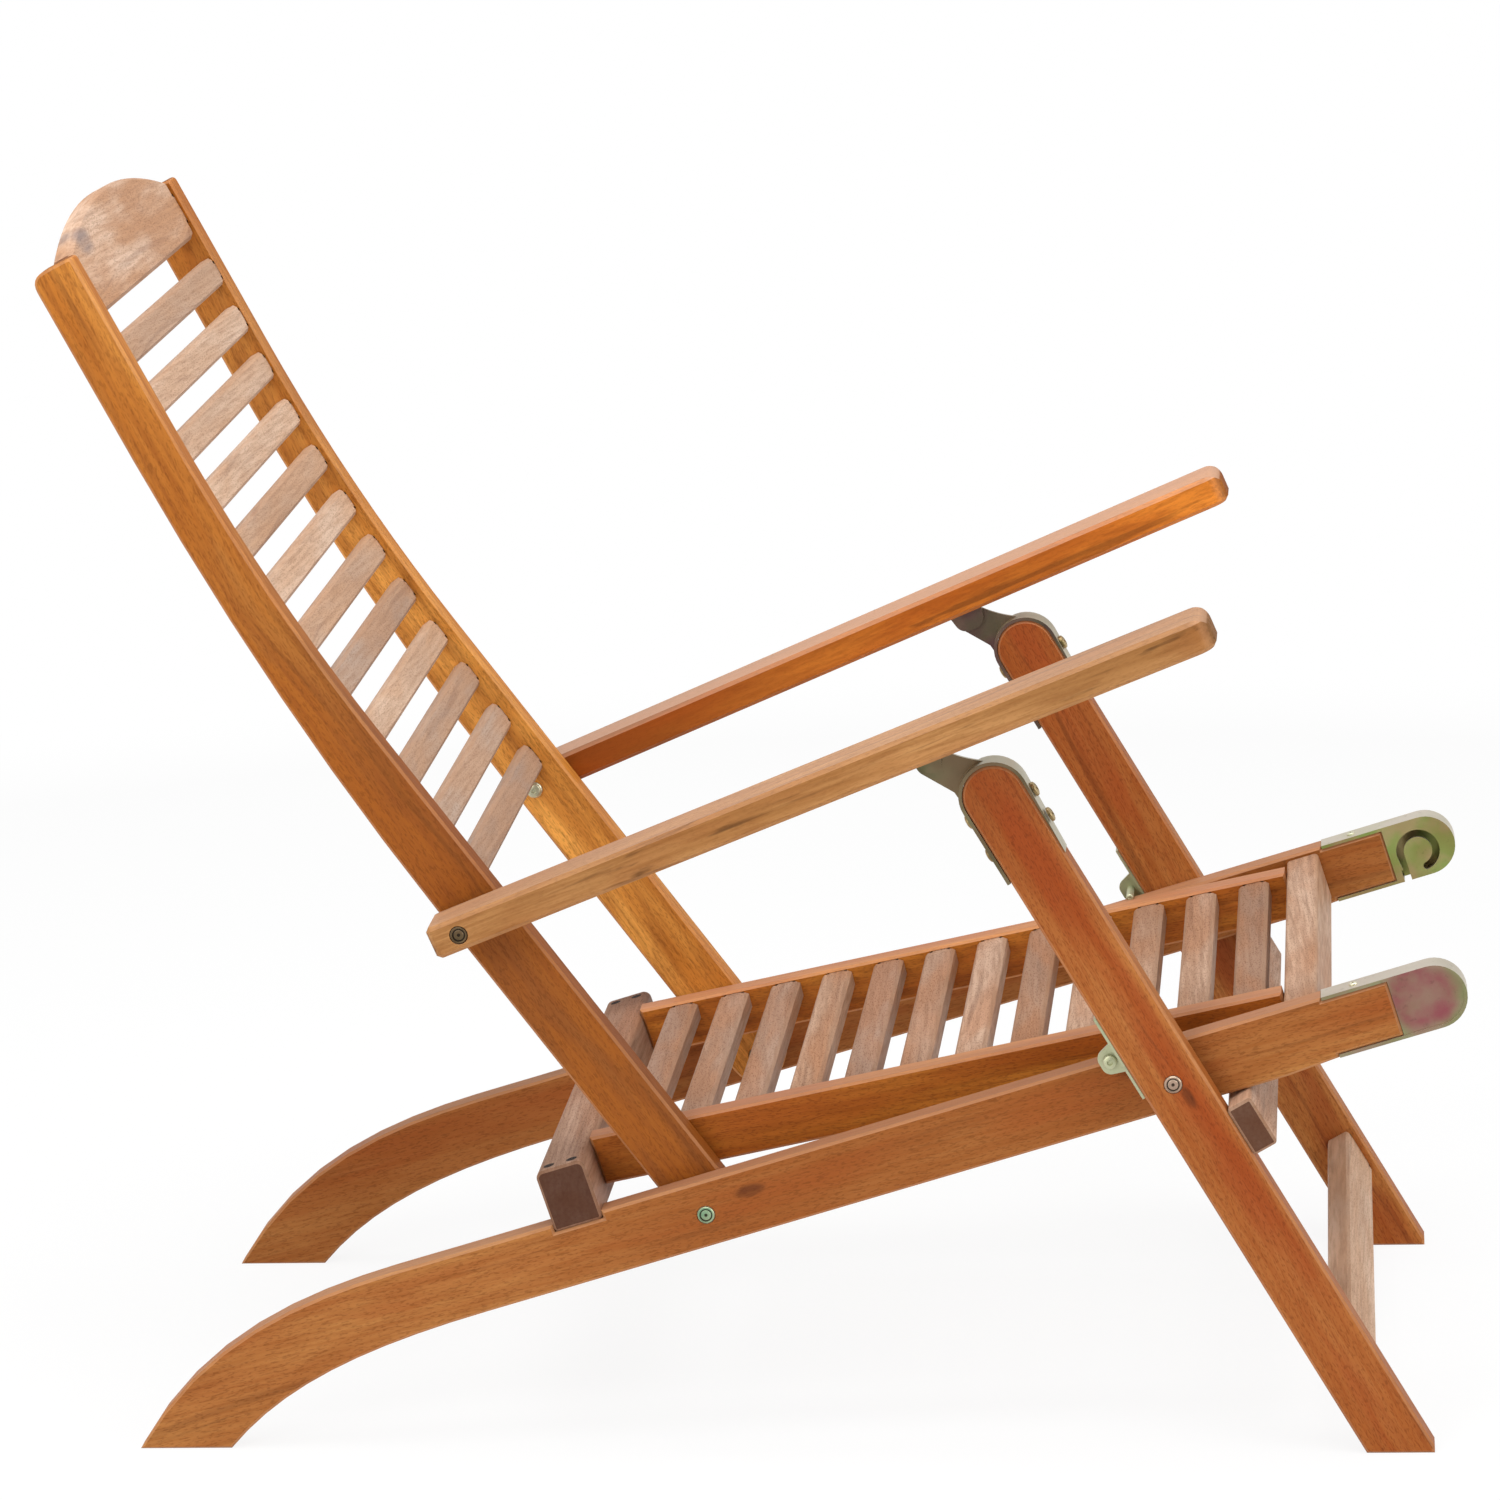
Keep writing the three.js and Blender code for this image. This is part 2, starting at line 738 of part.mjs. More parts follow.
const stretcherBar = add(
  "leg_stretcher",
  tenonedPlank(
    2 * legInner,
    barStock.width,
    barStock.thickness,
    barStock.ease,
    tenon.shoulder,
    tenon.length,
  ),
  slatWood,
);
stretcherBar.rotation.y = -radians(legSlope);
stretcherBar.position.set(stretcherMiddle.x, 0, stretcherMiddle.y);

// Unfolded, the upper front corner of this beam stops against the undersides of the side rails.
const stopFront = -legHalf - seatGap - barStock.thickness;
const stopCorner = legAxis.meet(stopFront, railAxis, -railStock.below - seatGap);
const stopTop = stopCorner.sub(legPivot).dot(legAxis.along);
add(
  "stop_beam",
  crossMember(
    2 * legOuter,
    barStock.width,
    barStock.thickness,
    barStock.corner,
    barStock.corner,
    barStock.ease,
    legAxis.at(stopTop - barStock.width / 2, stopFront + barStock.thickness / 2),
    legSlope,
  ),
  slatWood,
);

// Zinc strap round the top of a leg, with the ear that carries the arm
function legBracket() {
  const top = legAxis.at(leg.roundCentre, 0);
  const inner = legHalf + seatGap;
  const outer = inner + strap.thickness;
  const facing = radians(legSlope);
  const tailLow = leg.roundCentre - strap.tail;
  const band = new THREE.Shape();
  const start = legAxis.at(tailLow, -outer);
  band.moveTo(start.x, start.y);
  band.absarc(top.x, top.y, outer, facing - Math.PI / 2, facing + Math.PI / 2, false);
  [legAxis.at(tailLow, outer), legAxis.at(tailLow, inner)].forEach((point) =>
    band.lineTo(point.x, point.y),
  );
  band.absarc(top.x, top.y, inner, facing + Math.PI / 2, facing - Math.PI / 2, true);
  const end = legAxis.at(tailLow, -inner);
  band.lineTo(end.x, end.y);
  const strapBody = board(band, legStock.thickness, 0).translate(0, legMiddle, 0);
  const earAxis = new Axis(top, THREE.MathUtils.radToDeg(hingePivot.clone().sub(top).angle()));
  const reach = hingePivot.distanceTo(top);
  const tipFacing = radians(earAxis.slope);
  const blade = new THREE.Shape();
  const root = inner + strap.thickness / 2;
  const rootHigh = new Axis(top, legSlope - ear.rootForward).at(root, 0);
  const rootLow = new Axis(top, legSlope + ear.rootBack).at(root, 0);
  const free = reach - root;
  const waistHigh = earAxis.at(root + free * ear.highWaistShare, -ear.tipRadius);
  const waistLow = earAxis.at(root + free * ear.lowWaistShare, ear.waist);
  const tipHigh = earAxis.at(reach, -ear.tipRadius);
  const from = Math.atan2(rootHigh.y - top.y, rootHigh.x - top.x);
  const to = Math.atan2(rootLow.y - top.y, rootLow.x - top.x);
  blade.moveTo(rootHigh.x, rootHigh.y);
  blade.quadraticCurveTo(waistHigh.x, waistHigh.y, tipHigh.x, tipHigh.y);
  blade.absarc(
    hingePivot.x,
    hingePivot.y,
    ear.tipRadius,
    tipFacing - Math.PI / 2,
    tipFacing + Math.PI / 2,
    false,
  );
  blade.lineTo(waistLow.x, waistLow.y);
  blade.lineTo(rootLow.x, rootLow.y);
  blade.absarc(top.x, top.y, root, to < 0 ? to + 2 * Math.PI : to, from, true);
  const earBody = board(blade, ear.thickness, 0).translate(0, legMiddle, 0);
  return cut(joined([strapBody, earBody]), [
    rod(ear.hole, hingePivot, legMiddle - overrun, legMiddle + overrun),
  ]);
}
addPair("leg_bracket", legBracket(), zinc);

// Stop lug on the rear edge of a leg: its stud lies on top of the side rail
function stopLug() {
  const face = legHalf + seatGap;
  const strip = bar(
    lug.length,
    lug.width,
    lug.thickness,
    legAxis.at(lug.along, face + lug.thickness / 2),
    legMiddle,
    legSlope,
  );
  const onRail = railStock.above + lug.studRadius + seatGap;
  const stud = railAxis.meet(onRail, legAxis, face + lug.thickness + lug.studRise);
  const atStud = new Axis(stud, legSlope);
  const tab = outline([
    [legAxis.at(lug.along + lug.tabRoot, face + lug.thickness / 2), 0],
    [atStud.at(lug.tabRadius, lug.tabRadius), lug.tabCorner],
    [atStud.at(-lug.tabRadius, lug.tabRadius), lug.tabCorner],
    [legAxis.at(lug.along - lug.tabRoot, face + lug.thickness / 2), 0],
  ]);
  return joined([
    strip,
    board(tab, ear.thickness, 0).translate(0, legMiddle, 0),
    rod(lug.studRadius, stud, railOuter - lug.studReach, legMiddle + ear.thickness),
  ]);
}
addPair("stop_lug", stopLug(), zinc);

// Arms: plan and side profiles crossed, so that the nose is round both ways
const armPlanMiddle = arm.thickness / 2 - arm.below;
const armShare = (s) => (s + arm.rear) / (arm.front + arm.rear);
const armInner = (s) => railInner + arm.splay * armShare(s);
const armOuter = (s) =>
  armInner(s) + THREE.MathUtils.lerp(arm.rearWidth, arm.frontWidth, armShare(s));
const hingeAlong = hingePivot.clone().sub(armPivot).dot(armAxis.along);

function armBoard() {
  const plan = outline([
    [new THREE.Vector2(-arm.rear, armInner(-arm.rear)), arm.rearCorner],
    [new THREE.Vector2(arm.front, armInner(arm.front)), arm.frontCorner],
    [new THREE.Vector2(arm.front, armOuter(arm.front)), arm.frontCorner],
    [new THREE.Vector2(-arm.rear, armOuter(-arm.rear)), arm.rearCorner],
  ]);
  const flat = plank(plan, arm.thickness, arm.ease, cornerSteps);
  flat.translate(0, 0, armPlanMiddle);
  const low = -arm.below;
  const high = arm.thickness - arm.below;
  const profile = outline([
    [new THREE.Vector2(-arm.rear - overrun, low - overrun), 0],
    [new THREE.Vector2(arm.front, low - overrun), 0],
    [new THREE.Vector2(arm.front, high), arm.noseRadius],
    [new THREE.Vector2(-arm.rear - overrun, high), 0],
  ]);
  const across = armOuter(arm.front) + overrun;
  const side = board(profile, across, 0, bowSteps).translate(0, across / 2, 0);
  const crossed = shaped(solid(flat).intersect(solid(side)));
  crossed.rotateY(-radians(armSlope));
  crossed.translate(armPivot.x, 0, armPivot.y);
  const well = armAxis.at(hingeAlong, low + hinge.wellDepth / 2);
  const letIn = hinge.thickness + seatGap;
  const plateSeat = armAxis.at(hingeAlong, low + (letIn - overrun) / 2);
  return cut(crossed, [
    rod(sleeveBore, armPivot, 0, armOuter(0) + overrun),
    rod(headSeat, armPivot, armOuter(0) - headDepth - arm.headSink, armOuter(0) + overrun),
    bar(
      hinge.length + 2 * seatGap,
      hinge.width + 2 * seatGap,
      letIn + overrun,
      plateSeat,
      legMiddle,
      armSlope,
    ),
    bar(hinge.wellLength, hinge.wellWidth, hinge.wellDepth, well, legMiddle, armSlope),
  ]);
}
addPair("arm", armBoard(), armWood);

// Hinge plate let into the underside of an arm, with one lug and the rivet that the ear swings on
function armHinge() {
  const plateMiddle = armAxis.at(hingeAlong, -arm.below + hinge.thickness / 2);
  const plate = bar(hinge.length, hinge.width, hinge.thickness, plateMiddle, legMiddle, armSlope);
  const lugInner = legMiddle - ear.thickness / 2 - sideGap / 2 - hinge.thickness;
  const atPin = new Axis(hingePivot, armSlope);
  const flank = outline([
    [armAxis.at(hingeAlong - hinge.lugRoot, hinge.thickness / 2 - arm.below), 0],
    [atPin.at(-hinge.lugRadius, -hinge.lugRadius), hinge.lugCorner],
    [atPin.at(hinge.lugRadius, -hinge.lugRadius), hinge.lugCorner],
    [armAxis.at(hingeAlong + hinge.lugRoot, hinge.thickness / 2 - arm.below), 0],
  ]);
  const side = board(flank, hinge.thickness, 0).translate(0, lugInner + hinge.thickness / 2, 0);
  const slotWidth = hinge.wellWidth / 2;
  const slot = bar(
    hinge.wellLength,
    slotWidth,
    hinge.thickness + 2 * overrun,
    plateMiddle,
    lugInner + hinge.thickness + seatGap + slotWidth / 2,
    armSlope,
  );
  const headFace = legMiddle + ear.thickness / 2 + sideGap / 2;
  return joined([
    cut(plate, [slot]),
    side,
    rod(hinge.pin, hingePivot, lugInner, headFace + hinge.headHeight),
    rod(hinge.head, hingePivot, headFace, headFace + hinge.headHeight),
  ]);
}
addPair("arm_hinge", armHinge(), zinc);

// Hook cap on the nose of a side rail: a footrest's pins enter the curved slot in its inner plate
function noseHook() {
  const top = noseAbove + seatGap;
  const bottom = noseBelow + seatGap;
  const inner = (top + bottom) / 2;
  const middle = (top - bottom) / 2;
  const outer = inner + hook.wall;
  const strapFrom = rail.rebateFrom + seatGap;
  const centre = railAxis.at(rail.noseEnd + hook.roundReach, middle);
  const facing = radians(railSlope);
  const under = facing - Math.PI / 2;
  const over = facing + Math.PI / 2;
  const band = new THREE.Shape();
  band.absarc(centre.x, centre.y, outer, under, over, false);
  const tails = [
    railAxis.at(strapFrom, middle + outer),
    railAxis.at(strapFrom, middle + inner),
  ];
  tails.forEach((point) => band.lineTo(point.x, point.y));
  band.absarc(centre.x, centre.y, inner, over, under, true);
  [middle - inner, middle - outer].forEach((v) => {
    const point = railAxis.at(strapFrom, v);
    band.lineTo(point.x, point.y);
  });
  const cheek = new THREE.Shape();
  const lap = outer - hook.wall / 2;
  cheek.absarc(centre.x, centre.y, lap, under, over, false);
  [middle + lap, middle - lap].forEach((v) => {
    const point = railAxis.at(rail.noseEnd + seatGap, v);
    cheek.lineTo(point.x, point.y);
  });
  const cheekAt = (y) => board(cheek, hook.plate, 0).translate(0, y, 0);
  const outerPlate = railOuter - hook.plate;
  const slotMiddle = railAxis.at(rail.noseEnd + hook.slotReach, hook.slotRise);
  const slotAxis = new Axis(slotMiddle, railSlope);
  const half = hook.slotWidth / 2;
  const enter = facing + Math.PI;
  const end = radians(hook.slotEnd);
  const tip = new THREE.Vector2(Math.cos(end), Math.sin(end))
    .multiplyScalar(hook.slotRadius)
    .add(slotMiddle);
  const track = new THREE.Shape();
  const mouth = slotAxis.at(-hook.slotRadius - half, -2 * outer);
  track.moveTo(mouth.x, mouth.y);
  track.absarc(slotMiddle.x, slotMiddle.y, hook.slotRadius + half, enter, end, true);
  track.absarc(tip.x, tip.y, half, end, end - Math.PI, true);
  track.absarc(slotMiddle.x, slotMiddle.y, hook.slotRadius - half, end, enter, false);
  const lip = slotAxis.at(-hook.slotRadius + half, -2 * outer);
  track.lineTo(lip.x, lip.y);
  const slot = board(track, hook.plate + overrun, 0);
  slot.translate(0, railInner + (hook.plate - overrun) / 2 + seatGap, 0);
  const gate = bar(
    hook.slotWidth,
    railStock.thickness,
    outer,
    slotAxis.at(-hook.slotRadius, -outer),
    outerPlate - (hook.plate + railStock.thickness) / 2,
    railSlope,
  );
  const shell = joined([
    board(band, railStock.thickness, 0).translate(0, (railInner + railOuter) / 2, 0),
    cheekAt(outerPlate),
    cheekAt(railInner + hook.plate / 2),
  ]);
  return cut(shell, [slot, gate]);
}
addPair("footrest_hook", noseHook(), zinc);

// Pivot fittings
addPair("leg_pivot_sleeve", sleeve(legPivot, legOuter, railInner), zinc);
addPair("leg_pivot_screw", screw(legPivot, railInner, false), zinc);
addPair("back_pivot_sleeve", sleeve(backPivot, railOuter, stileInner), zinc);
addPair("back_pivot_screw", screw(backPivot, stileInner, false), zinc);
addPair("arm_pivot_sleeve", sleeve(armPivot, armOuter(0) - arm.headSink, stileInner), zinc);
addPair("arm_pivot_screw", screw(armPivot, stileInner, true), zinc);

// The chair's origin is on the floor under the middle of its outline.
const extent = new THREE.Box3().setFromObject(chair, true);
toeFrame.position.x = -(extent.min.x + extent.max.x) / 2;
toeFrame.position.z = -extent.min.z;

export default chair;
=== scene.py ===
"""Looks of a folding steamer deck chair: oiled hardwood, zinc fittings and a white studio."""

import json
import logging
import math
from dataclasses import dataclass
from enum import Enum
from functools import reduce

import bmesh
import bpy
from mathutils import Matrix, Vector


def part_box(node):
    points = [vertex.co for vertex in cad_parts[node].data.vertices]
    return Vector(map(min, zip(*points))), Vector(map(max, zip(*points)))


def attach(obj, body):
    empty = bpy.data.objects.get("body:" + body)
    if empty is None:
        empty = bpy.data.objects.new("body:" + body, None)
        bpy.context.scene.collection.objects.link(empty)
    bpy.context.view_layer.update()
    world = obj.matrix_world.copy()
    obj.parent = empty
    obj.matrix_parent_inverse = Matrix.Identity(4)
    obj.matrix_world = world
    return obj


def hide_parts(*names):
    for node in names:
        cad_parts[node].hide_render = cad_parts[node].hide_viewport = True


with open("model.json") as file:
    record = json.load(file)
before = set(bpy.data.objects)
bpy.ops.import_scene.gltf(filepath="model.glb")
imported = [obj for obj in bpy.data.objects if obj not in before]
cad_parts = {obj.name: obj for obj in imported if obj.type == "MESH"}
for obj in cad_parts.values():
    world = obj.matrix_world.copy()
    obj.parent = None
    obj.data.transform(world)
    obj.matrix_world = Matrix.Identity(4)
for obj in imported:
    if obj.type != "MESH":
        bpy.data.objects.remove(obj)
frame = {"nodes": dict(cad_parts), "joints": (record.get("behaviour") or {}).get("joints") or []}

log = logging.getLogger("deck_chair")
MM = 0.001
SIDES = {"left": 1, "right": -1}
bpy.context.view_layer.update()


class Line:
    """A straight line in the side plane, which places are counted along and beside."""

    def __init__(self, origin: tuple[float, float], slope: float) -> None:
        """Keep where the line starts and which way it runs.

        Args:
            origin: The (x, z) point that distances are counted from.
            slope: Degrees from level.
        """
        self.origin = origin
        self.slope = slope
        self.along = Vector((math.cos(math.radians(slope)), 0, math.sin(math.radians(slope))))
        self.left = Vector((-self.along.z, 0, self.along.x))

    def at(self, s: float, v: float, y: float = 0) -> Vector:
        """Return the point s along the line and v to its left, at y across the chair."""
        start = Vector((self.origin[0], y, self.origin[1]))
        return start + self.along * s + self.left * v

    def reach(self, point: Vector) -> float:
        """Return how far along the line a point lies."""
        return self.along.dot(point - self.at(0, 0))

    def meet(self, v: float, other: "Line", w: float, y: float = 0) -> Vector:
        """Return where this line, moved to its left, meets another moved to its own left.

        Args:
            v: How far this line is moved.
            other: The other line.
            w: How far the other is moved.
            y: Where across the chair.

        Returns:
            The point.
        """
        start = self.at(0, v, y)
        away = other.at(0, w, y) - start
        turn = self.along.x * other.along.z - self.along.z * other.along.x
        return start + self.along * ((away.x * other.along.z - away.z * other.along.x) / turn)


def joint_place(name: str) -> tuple[float, float]:
    """Return the (x, z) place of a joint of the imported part."""
    place = next(j["pos_m"] for j in frame["joints"] if j["name"] == name)
    return place[0], place[2]


LEG_PIVOT = joint_place("leg_fold")
BACK_PIVOT = joint_place("back_fold")
ARM_PIVOT = joint_place("left_arm_swing")
RAIL_LINE = Line(LEG_PIVOT, 16.4)
LEG_LINE = Line(LEG_PIVOT, 119.7)
BACK_LINE = Line(BACK_PIVOT, 125.7)
ARM_LINE = Line(ARM_PIVOT, 22)
SEAT_LINE = Line(BACK_PIVOT, 11.6)


class Field:
    """A socket that carries a number, on which Python's operators add Math nodes."""

    def __init__(self, graph: "Graph", socket: bpy.types.NodeSocket) -> None:
        """Keep the socket and the graph it belongs to."""
        self.graph = graph
        self.socket = socket

    def math(self, operation: str, *others: object) -> "Field":
        """Add one Math node whose first value is this one.

        Args:
            operation: The node's operation.
            others: Its other values, as fields or numbers.

        Returns:
            The node's result.
        """
        values = {i: value for i, value in enumerate((self, *others))}
        return self.graph.field("ShaderNodeMath", {"operation": operation}, values)

    def __add__(self, other: object) -> "Field":
        """Return this plus the other."""
        return self.math("ADD", other)

    __radd__ = __add__

    def __sub__(self, other: object) -> "Field":
        """Return this minus the other."""
        return self.math("SUBTRACT", other)

    def __rsub__(self, other: object) -> "Field":
        """Return the other minus this."""
        return self.math("MULTIPLY_ADD", -1, other)

    def __mul__(self, other: object) -> "Field":
        """Return this times the other."""
        return self.math("MULTIPLY", other)

    __rmul__ = __mul__

    def __abs__(self) -> "Field":
        """Return this without its sign."""
        return self.math("ABSOLUTE")

    def fraction(self) -> "Field":
        """Return the part after the decimal point."""
        return self.math("FRACT")

    def floor(self) -> "Field":
        """Return the whole number below."""
        return self.math("FLOOR")

    def larger(self, other: object) -> "Field":
        """Return the larger of this and the other."""
        return self.math("MAXIMUM", other)

    def between(self, low: float, high: float, blur: float) -> "Field":
        """Return 1 from low to high, fading to 0 over blur on either side."""
        return self.smooth(low - blur, low + blur) * self.smooth(high + blur, high - blur)

    def smooth(self, low: float, high: float) -> "Field":
        """Return 0 below low and 1 above high, with a soft step between.

        Args:
            low: Where the step starts, or ends if it is above high.
            high: Where the step ends.

        Returns:
            The stepped value, which falls where low is above high.
        """
        rising = low < high
        settings = {"interpolation_type": "SMOOTHSTEP"}
        values = {
            "Value": self,
            "From Min": min(low, high),
            "From Max": max(low, high),
            "To Min": 0 if rising else 1,
            "To Max": 1 if rising else 0,
        }
        return self.graph.field("ShaderNodeMapRange", settings, values)


class Graph:
    """The nodes of one material, or of the world."""

    def __init__(self, owner: bpy.types.Material | bpy.types.World) -> None:
        """Start with no nodes.

        Args:
            owner: The material or the world that the nodes belong to.
        """
        owner.use_nodes = True
        self.owner = owner
        self.tree = owner.node_tree
        self.tree.nodes.clear()

    @classmethod
    def named(cls, name: str) -> "Graph":
        """Return the graph of a new material."""
        return cls(bpy.data.materials.new(name))

    def node(self, kind: str, settings: dict, values: dict) -> bpy.types.Node:
        """Add a node.

        Args:
            kind: The node's type.
            settings: Its own settings, which are set first.
            values: Numbers, colours, fields or sockets for its inputs, by name or place.

        Returns:
            The new node.
        """
        node = self.tree.nodes.new(kind)
        for key, setting in settings.items():
            setattr(node, key, setting)
        for key, value in values.items():
            if isinstance(value, Field):
                value = value.socket
            if isinstance(value, bpy.types.NodeSocket):
                self.tree.links.new(value, node.inputs[key])
            else:
                node.inputs[key].default_value = value
        return node

    def field(self, kind: str, settings: dict, values: dict) -> Field:
        """Add a node and return its first output as a number."""
        return Field(self, self.node(kind, settings, values).outputs[0])

    def vector(self, x: object, y: object, z: object) -> bpy.types.NodeSocket:
        """Return a vector made of three numbers or fields."""
        return self.node("ShaderNodeCombineXYZ", {}, {"X": x, "Y": y, "Z": z}).outputs[0]

    def measure(self, operation: str, *vectors: object) -> Field:
        """Add a Vector Math node that makes a number.

        Args:
            operation: The node's operation.
            vectors: Its vectors, as sockets or values.

        Returns:
            The number.
        """
        values = dict(enumerate(vectors))
        node = self.node("ShaderNodeVectorMath", {"operation": operation}, values)
        return Field(self, node.outputs["Value"])

    def dot(self, vector: bpy.types.NodeSocket, direction: Vector) -> Field:
        """Return how far a vector reaches in a direction."""
        return self.measure("DOT_PRODUCT", vector, direction)

    def away(self, place: bpy.types.NodeSocket, origin: Vector, axis: Vector) -> Field:
        """Return how far a place lies from an origin, along an axis."""
        return self.dot(place, axis) - axis.dot(origin)

    def noise(self, vector: bpy.types.NodeSocket, scale: float, detail: float = 2) -> Field:
        """Return soft noise between 0 and 1.

        Args:
            vector: Where on the surface, in metres or stretched metres.
            scale: Blobs to a metre.
            detail: How many finer layers are added.

        Returns:
            The noise as a number.
        """
        return self.field(
            "ShaderNodeTexNoise", {}, {"Vector": vector, "Scale": scale, "Detail": detail}
        )

    def mix(self, share: object, first: object, second: object) -> bpy.types.NodeSocket:
        """Mix two colours.

        Args:
            share: How much of the second, as a number or field.
            first: A colour or a colour socket.
            second: The other one.

        Returns:
            The mixed colour's socket.
        """
        node = self.node(
            "ShaderNodeMix", {"data_type": "RGBA"}, {0: share, 6: first, 7: second}
        )
        return node.outputs[2]

    def finish(self, shader: bpy.types.Node) -> bpy.types.Material:
        """Join a shader to the material's output and return the material."""
        self.node("ShaderNodeOutputMaterial", {}, {"Surface": shader.outputs[0]})
        return self.owner

    def principled(self, values: dict, relief: dict) -> bpy.types.Material:
        """Finish the material with a Principled shader over a relief.

        Args:
            values: What goes to the shader's sockets.
            relief: What goes to the sockets of the bump node.

        Returns:
            The material.
        """
        bump = self.node("ShaderNodeBump", {}, relief)
        values = {**values, "Normal": bump.outputs[0]}
        return self.finish(self.node("ShaderNodeBsdfPrincipled", {}, values))


def paint(code: int) -> tuple[float, float, float, float]:
    """Turn a colour code into the linear colour that a shader takes.

    Args:
        code: The colour as 0xRRGGBB.

    Returns:
        Red, green, blue and alpha.
    """
    channels = [(code >> shift & 255) / 255 for shift in (16, 8, 0)]
    linear = [c / 12.92 if c <= 0.04045 else ((c + 0.055) / 1.055) ** 2.4 for c in channels]
    return (*linear, 1.0)


class Face(Enum):
    """Which way the broad face of a board looks."""

    SIDEWAYS = "sideways"
    UP = "up"
    CROSSWISE = "crosswise"


@dataclass(frozen=True)
class Knot:
    """A knot in a board, or a cloud on metal: its middle, radius and strength.

    Along the grain, across it and into the board, distances from it count by squash. Its
    outline wobbles so many times to a metre.
    """

    place: Vector
    radius: float
    depth: float = 1.0
    squash: tuple[float, float, float] = (0.42, 1, 0.4)
    wobble: float = 60


@dataclass(frozen=True)
class Cut:
    """How a piece was cut from the log: its grain, its broad face and its knots.

    pith is how far the log's middle lies across the board and into it. A row of slats repeats
    by its pitch from first on. A bowed board's grain turns from line to bent. heart is the
    (middle, half width) of a reddish stripe, and darkening the (start, end) along the board
    between which it gets darker.
    """

    line: Line
    face: Face
    pith: tuple[float, float] = (50 * MM, 110 * MM)
    pitch: float = 0
    first: float = 0
    knots: tuple[Knot, ...] = ()
    bent: Line | None = None
    heart: tuple[float, float] = (0, 1)
    darkening: tuple[float, float] | None = None

    def axes(self) -> tuple[Vector, Vector, Vector]:
        """Find the board's own directions.

        Returns:
            The ways along the grain, across the broad face and into the board.
        """
        across = Vector((0, 1, 0))
        if self.face is Face.SIDEWAYS:
            return self.line.along, self.line.left, across
        if self.face is Face.UP:
            return self.line.along, across, self.line.left
        return across, self.line.along, self.line.left


@dataclass(frozen=True)
class Layer:
    """One layer of a board's figure: noise that is stretched along the grain.

    It has along and across features to a metre, leans across by so much for each metre along,
    wanders across with the board's sway by so many metres, and counts from low to high.
    """

    along: float
    across: float
    detail: float = 2
    low: float = 0
    high: float = 1
    lean: float = 0
    wander: float = 0


SWAY = Layer(3.1, 11)
DRIFT = Layer(1.3, 4)
CLOUD = Layer(4.4, 17, 3, 0.32, 0.68)
BAND = Layer(2, 55, 3, 0.34, 0.66)
LENGTH = Layer(2.6, 3, 1, 0.42, 0.66)
PATCH = Layer(7, 34, 3, 0.38, 0.62, wander=1 / 17)
FLAME = Layer(3.4, 120, 3, 0.58, 0.7, wander=1 / 24)
FIBRE = Layer(24, 420, 3, 0.42, 0.66, lean=0.05)
PORE = Layer(230, 1050, 1, 0.52, 0.66, lean=0.05)
SLAT_SEEDS = (0.5, 40.5, 80.5)


class Board:
    """A board's wood in a material: where each point lies in it, and what figure is there."""

    heart_sway = 12 * MM

    def __init__(self, g: Graph, cut: Cut) -> None:
        """Measure along, across and into the board.

        Args:
            g: The material's graph.
            cut: How the board was cut.
        """
        outputs = g.node("ShaderNodeTexCoord", {}, {}).outputs
        self.g = g
        self.cut = cut
        self.place = outputs["Object"]
        self.normal = outputs["Normal"]
        start = cut.line.at(0, 0)
        self.along, self.across, self.deep = (
            g.away(self.place, start, axis) for axis in cut.axes()
        )
        if cut.bent:
            bent = g.away(self.place, cut.bent.at(0, 0), cut.bent.left)
            self.across = self.across.larger(bent)
        self.facing = [abs(g.dot(self.normal, axis)) for axis in cut.axes()]
        self.sway = self.noise(SWAY) - 0.5

    def noise(self, layer: Layer) -> Field:
        """Add one layer of the figure.

        Args:
            layer: How it is stretched, and how it leans and wanders.

        Returns:
            Its noise, between 0 and 1.
        """
        side = self.across
        if layer.lean:
            side = side + self.along * layer.lean
        if layer.wander:
            side = side + self.sway * layer.wander
        place = self.g.vector(
            self.along * layer.along, side * layer.across, self.deep * layer.across
        )
        return self.g.noise(place, 1, layer.detail)

    def share(self, layer: Layer) -> Field:
        """Return how far a layer's noise lies from its low to its high."""
        return self.noise(layer).smooth(layer.low, layer.high)

    def upward(self) -> Field:
        """Return 1 on faces that look up."""
        return self.g.dot(self.normal, Vector((0, 0, 1))).smooth(0.5, 0.95)

    def edge(self) -> Field:
        """Return 1 on the eased edges between two faces."""
        return reduce(Field.larger, self.facing).smooth(0.97, 0.8)

    def heart(self) -> Field:
        """Find the reddish stripe that runs along the board.

        Returns:
            1 in the stripe, and less where it is patchy.
        """
        middle, half = self.cut.heart
        away = abs(self.across + self.sway * self.heart_sway - middle)
        return away.smooth(half, half * 0.55) * self.share(PATCH)

    def swirl(self) -> Field | None:
        """Return 1 at the hearts of the knots, fading out around them, if there are any."""
        masks = [self.knot_mask(knot) for knot in self.cut.knots]
        return reduce(Field.larger, masks) if masks else None

    def knot_mask(self, knot: Knot) -> Field:
        """Find the wood that one knot turns.

        Args:
            knot: The knot.

        Returns:
            Its strength at its heart, fading out along the grain around it.
        """
        offsets = [
            self.g.away(self.place, knot.place, axis) * share
            for axis, share in zip(self.cut.axes(), knot.squash)
        ]
        offset = self.g.vector(*offsets)
        wobble = self.g.noise(offset, knot.wobble) * 0.5 + 0.75
        distance = self.g.measure("LENGTH", offset) * wobble
        return distance.smooth(knot.radius * 1.6, knot.radius * 0.15) * knot.depth


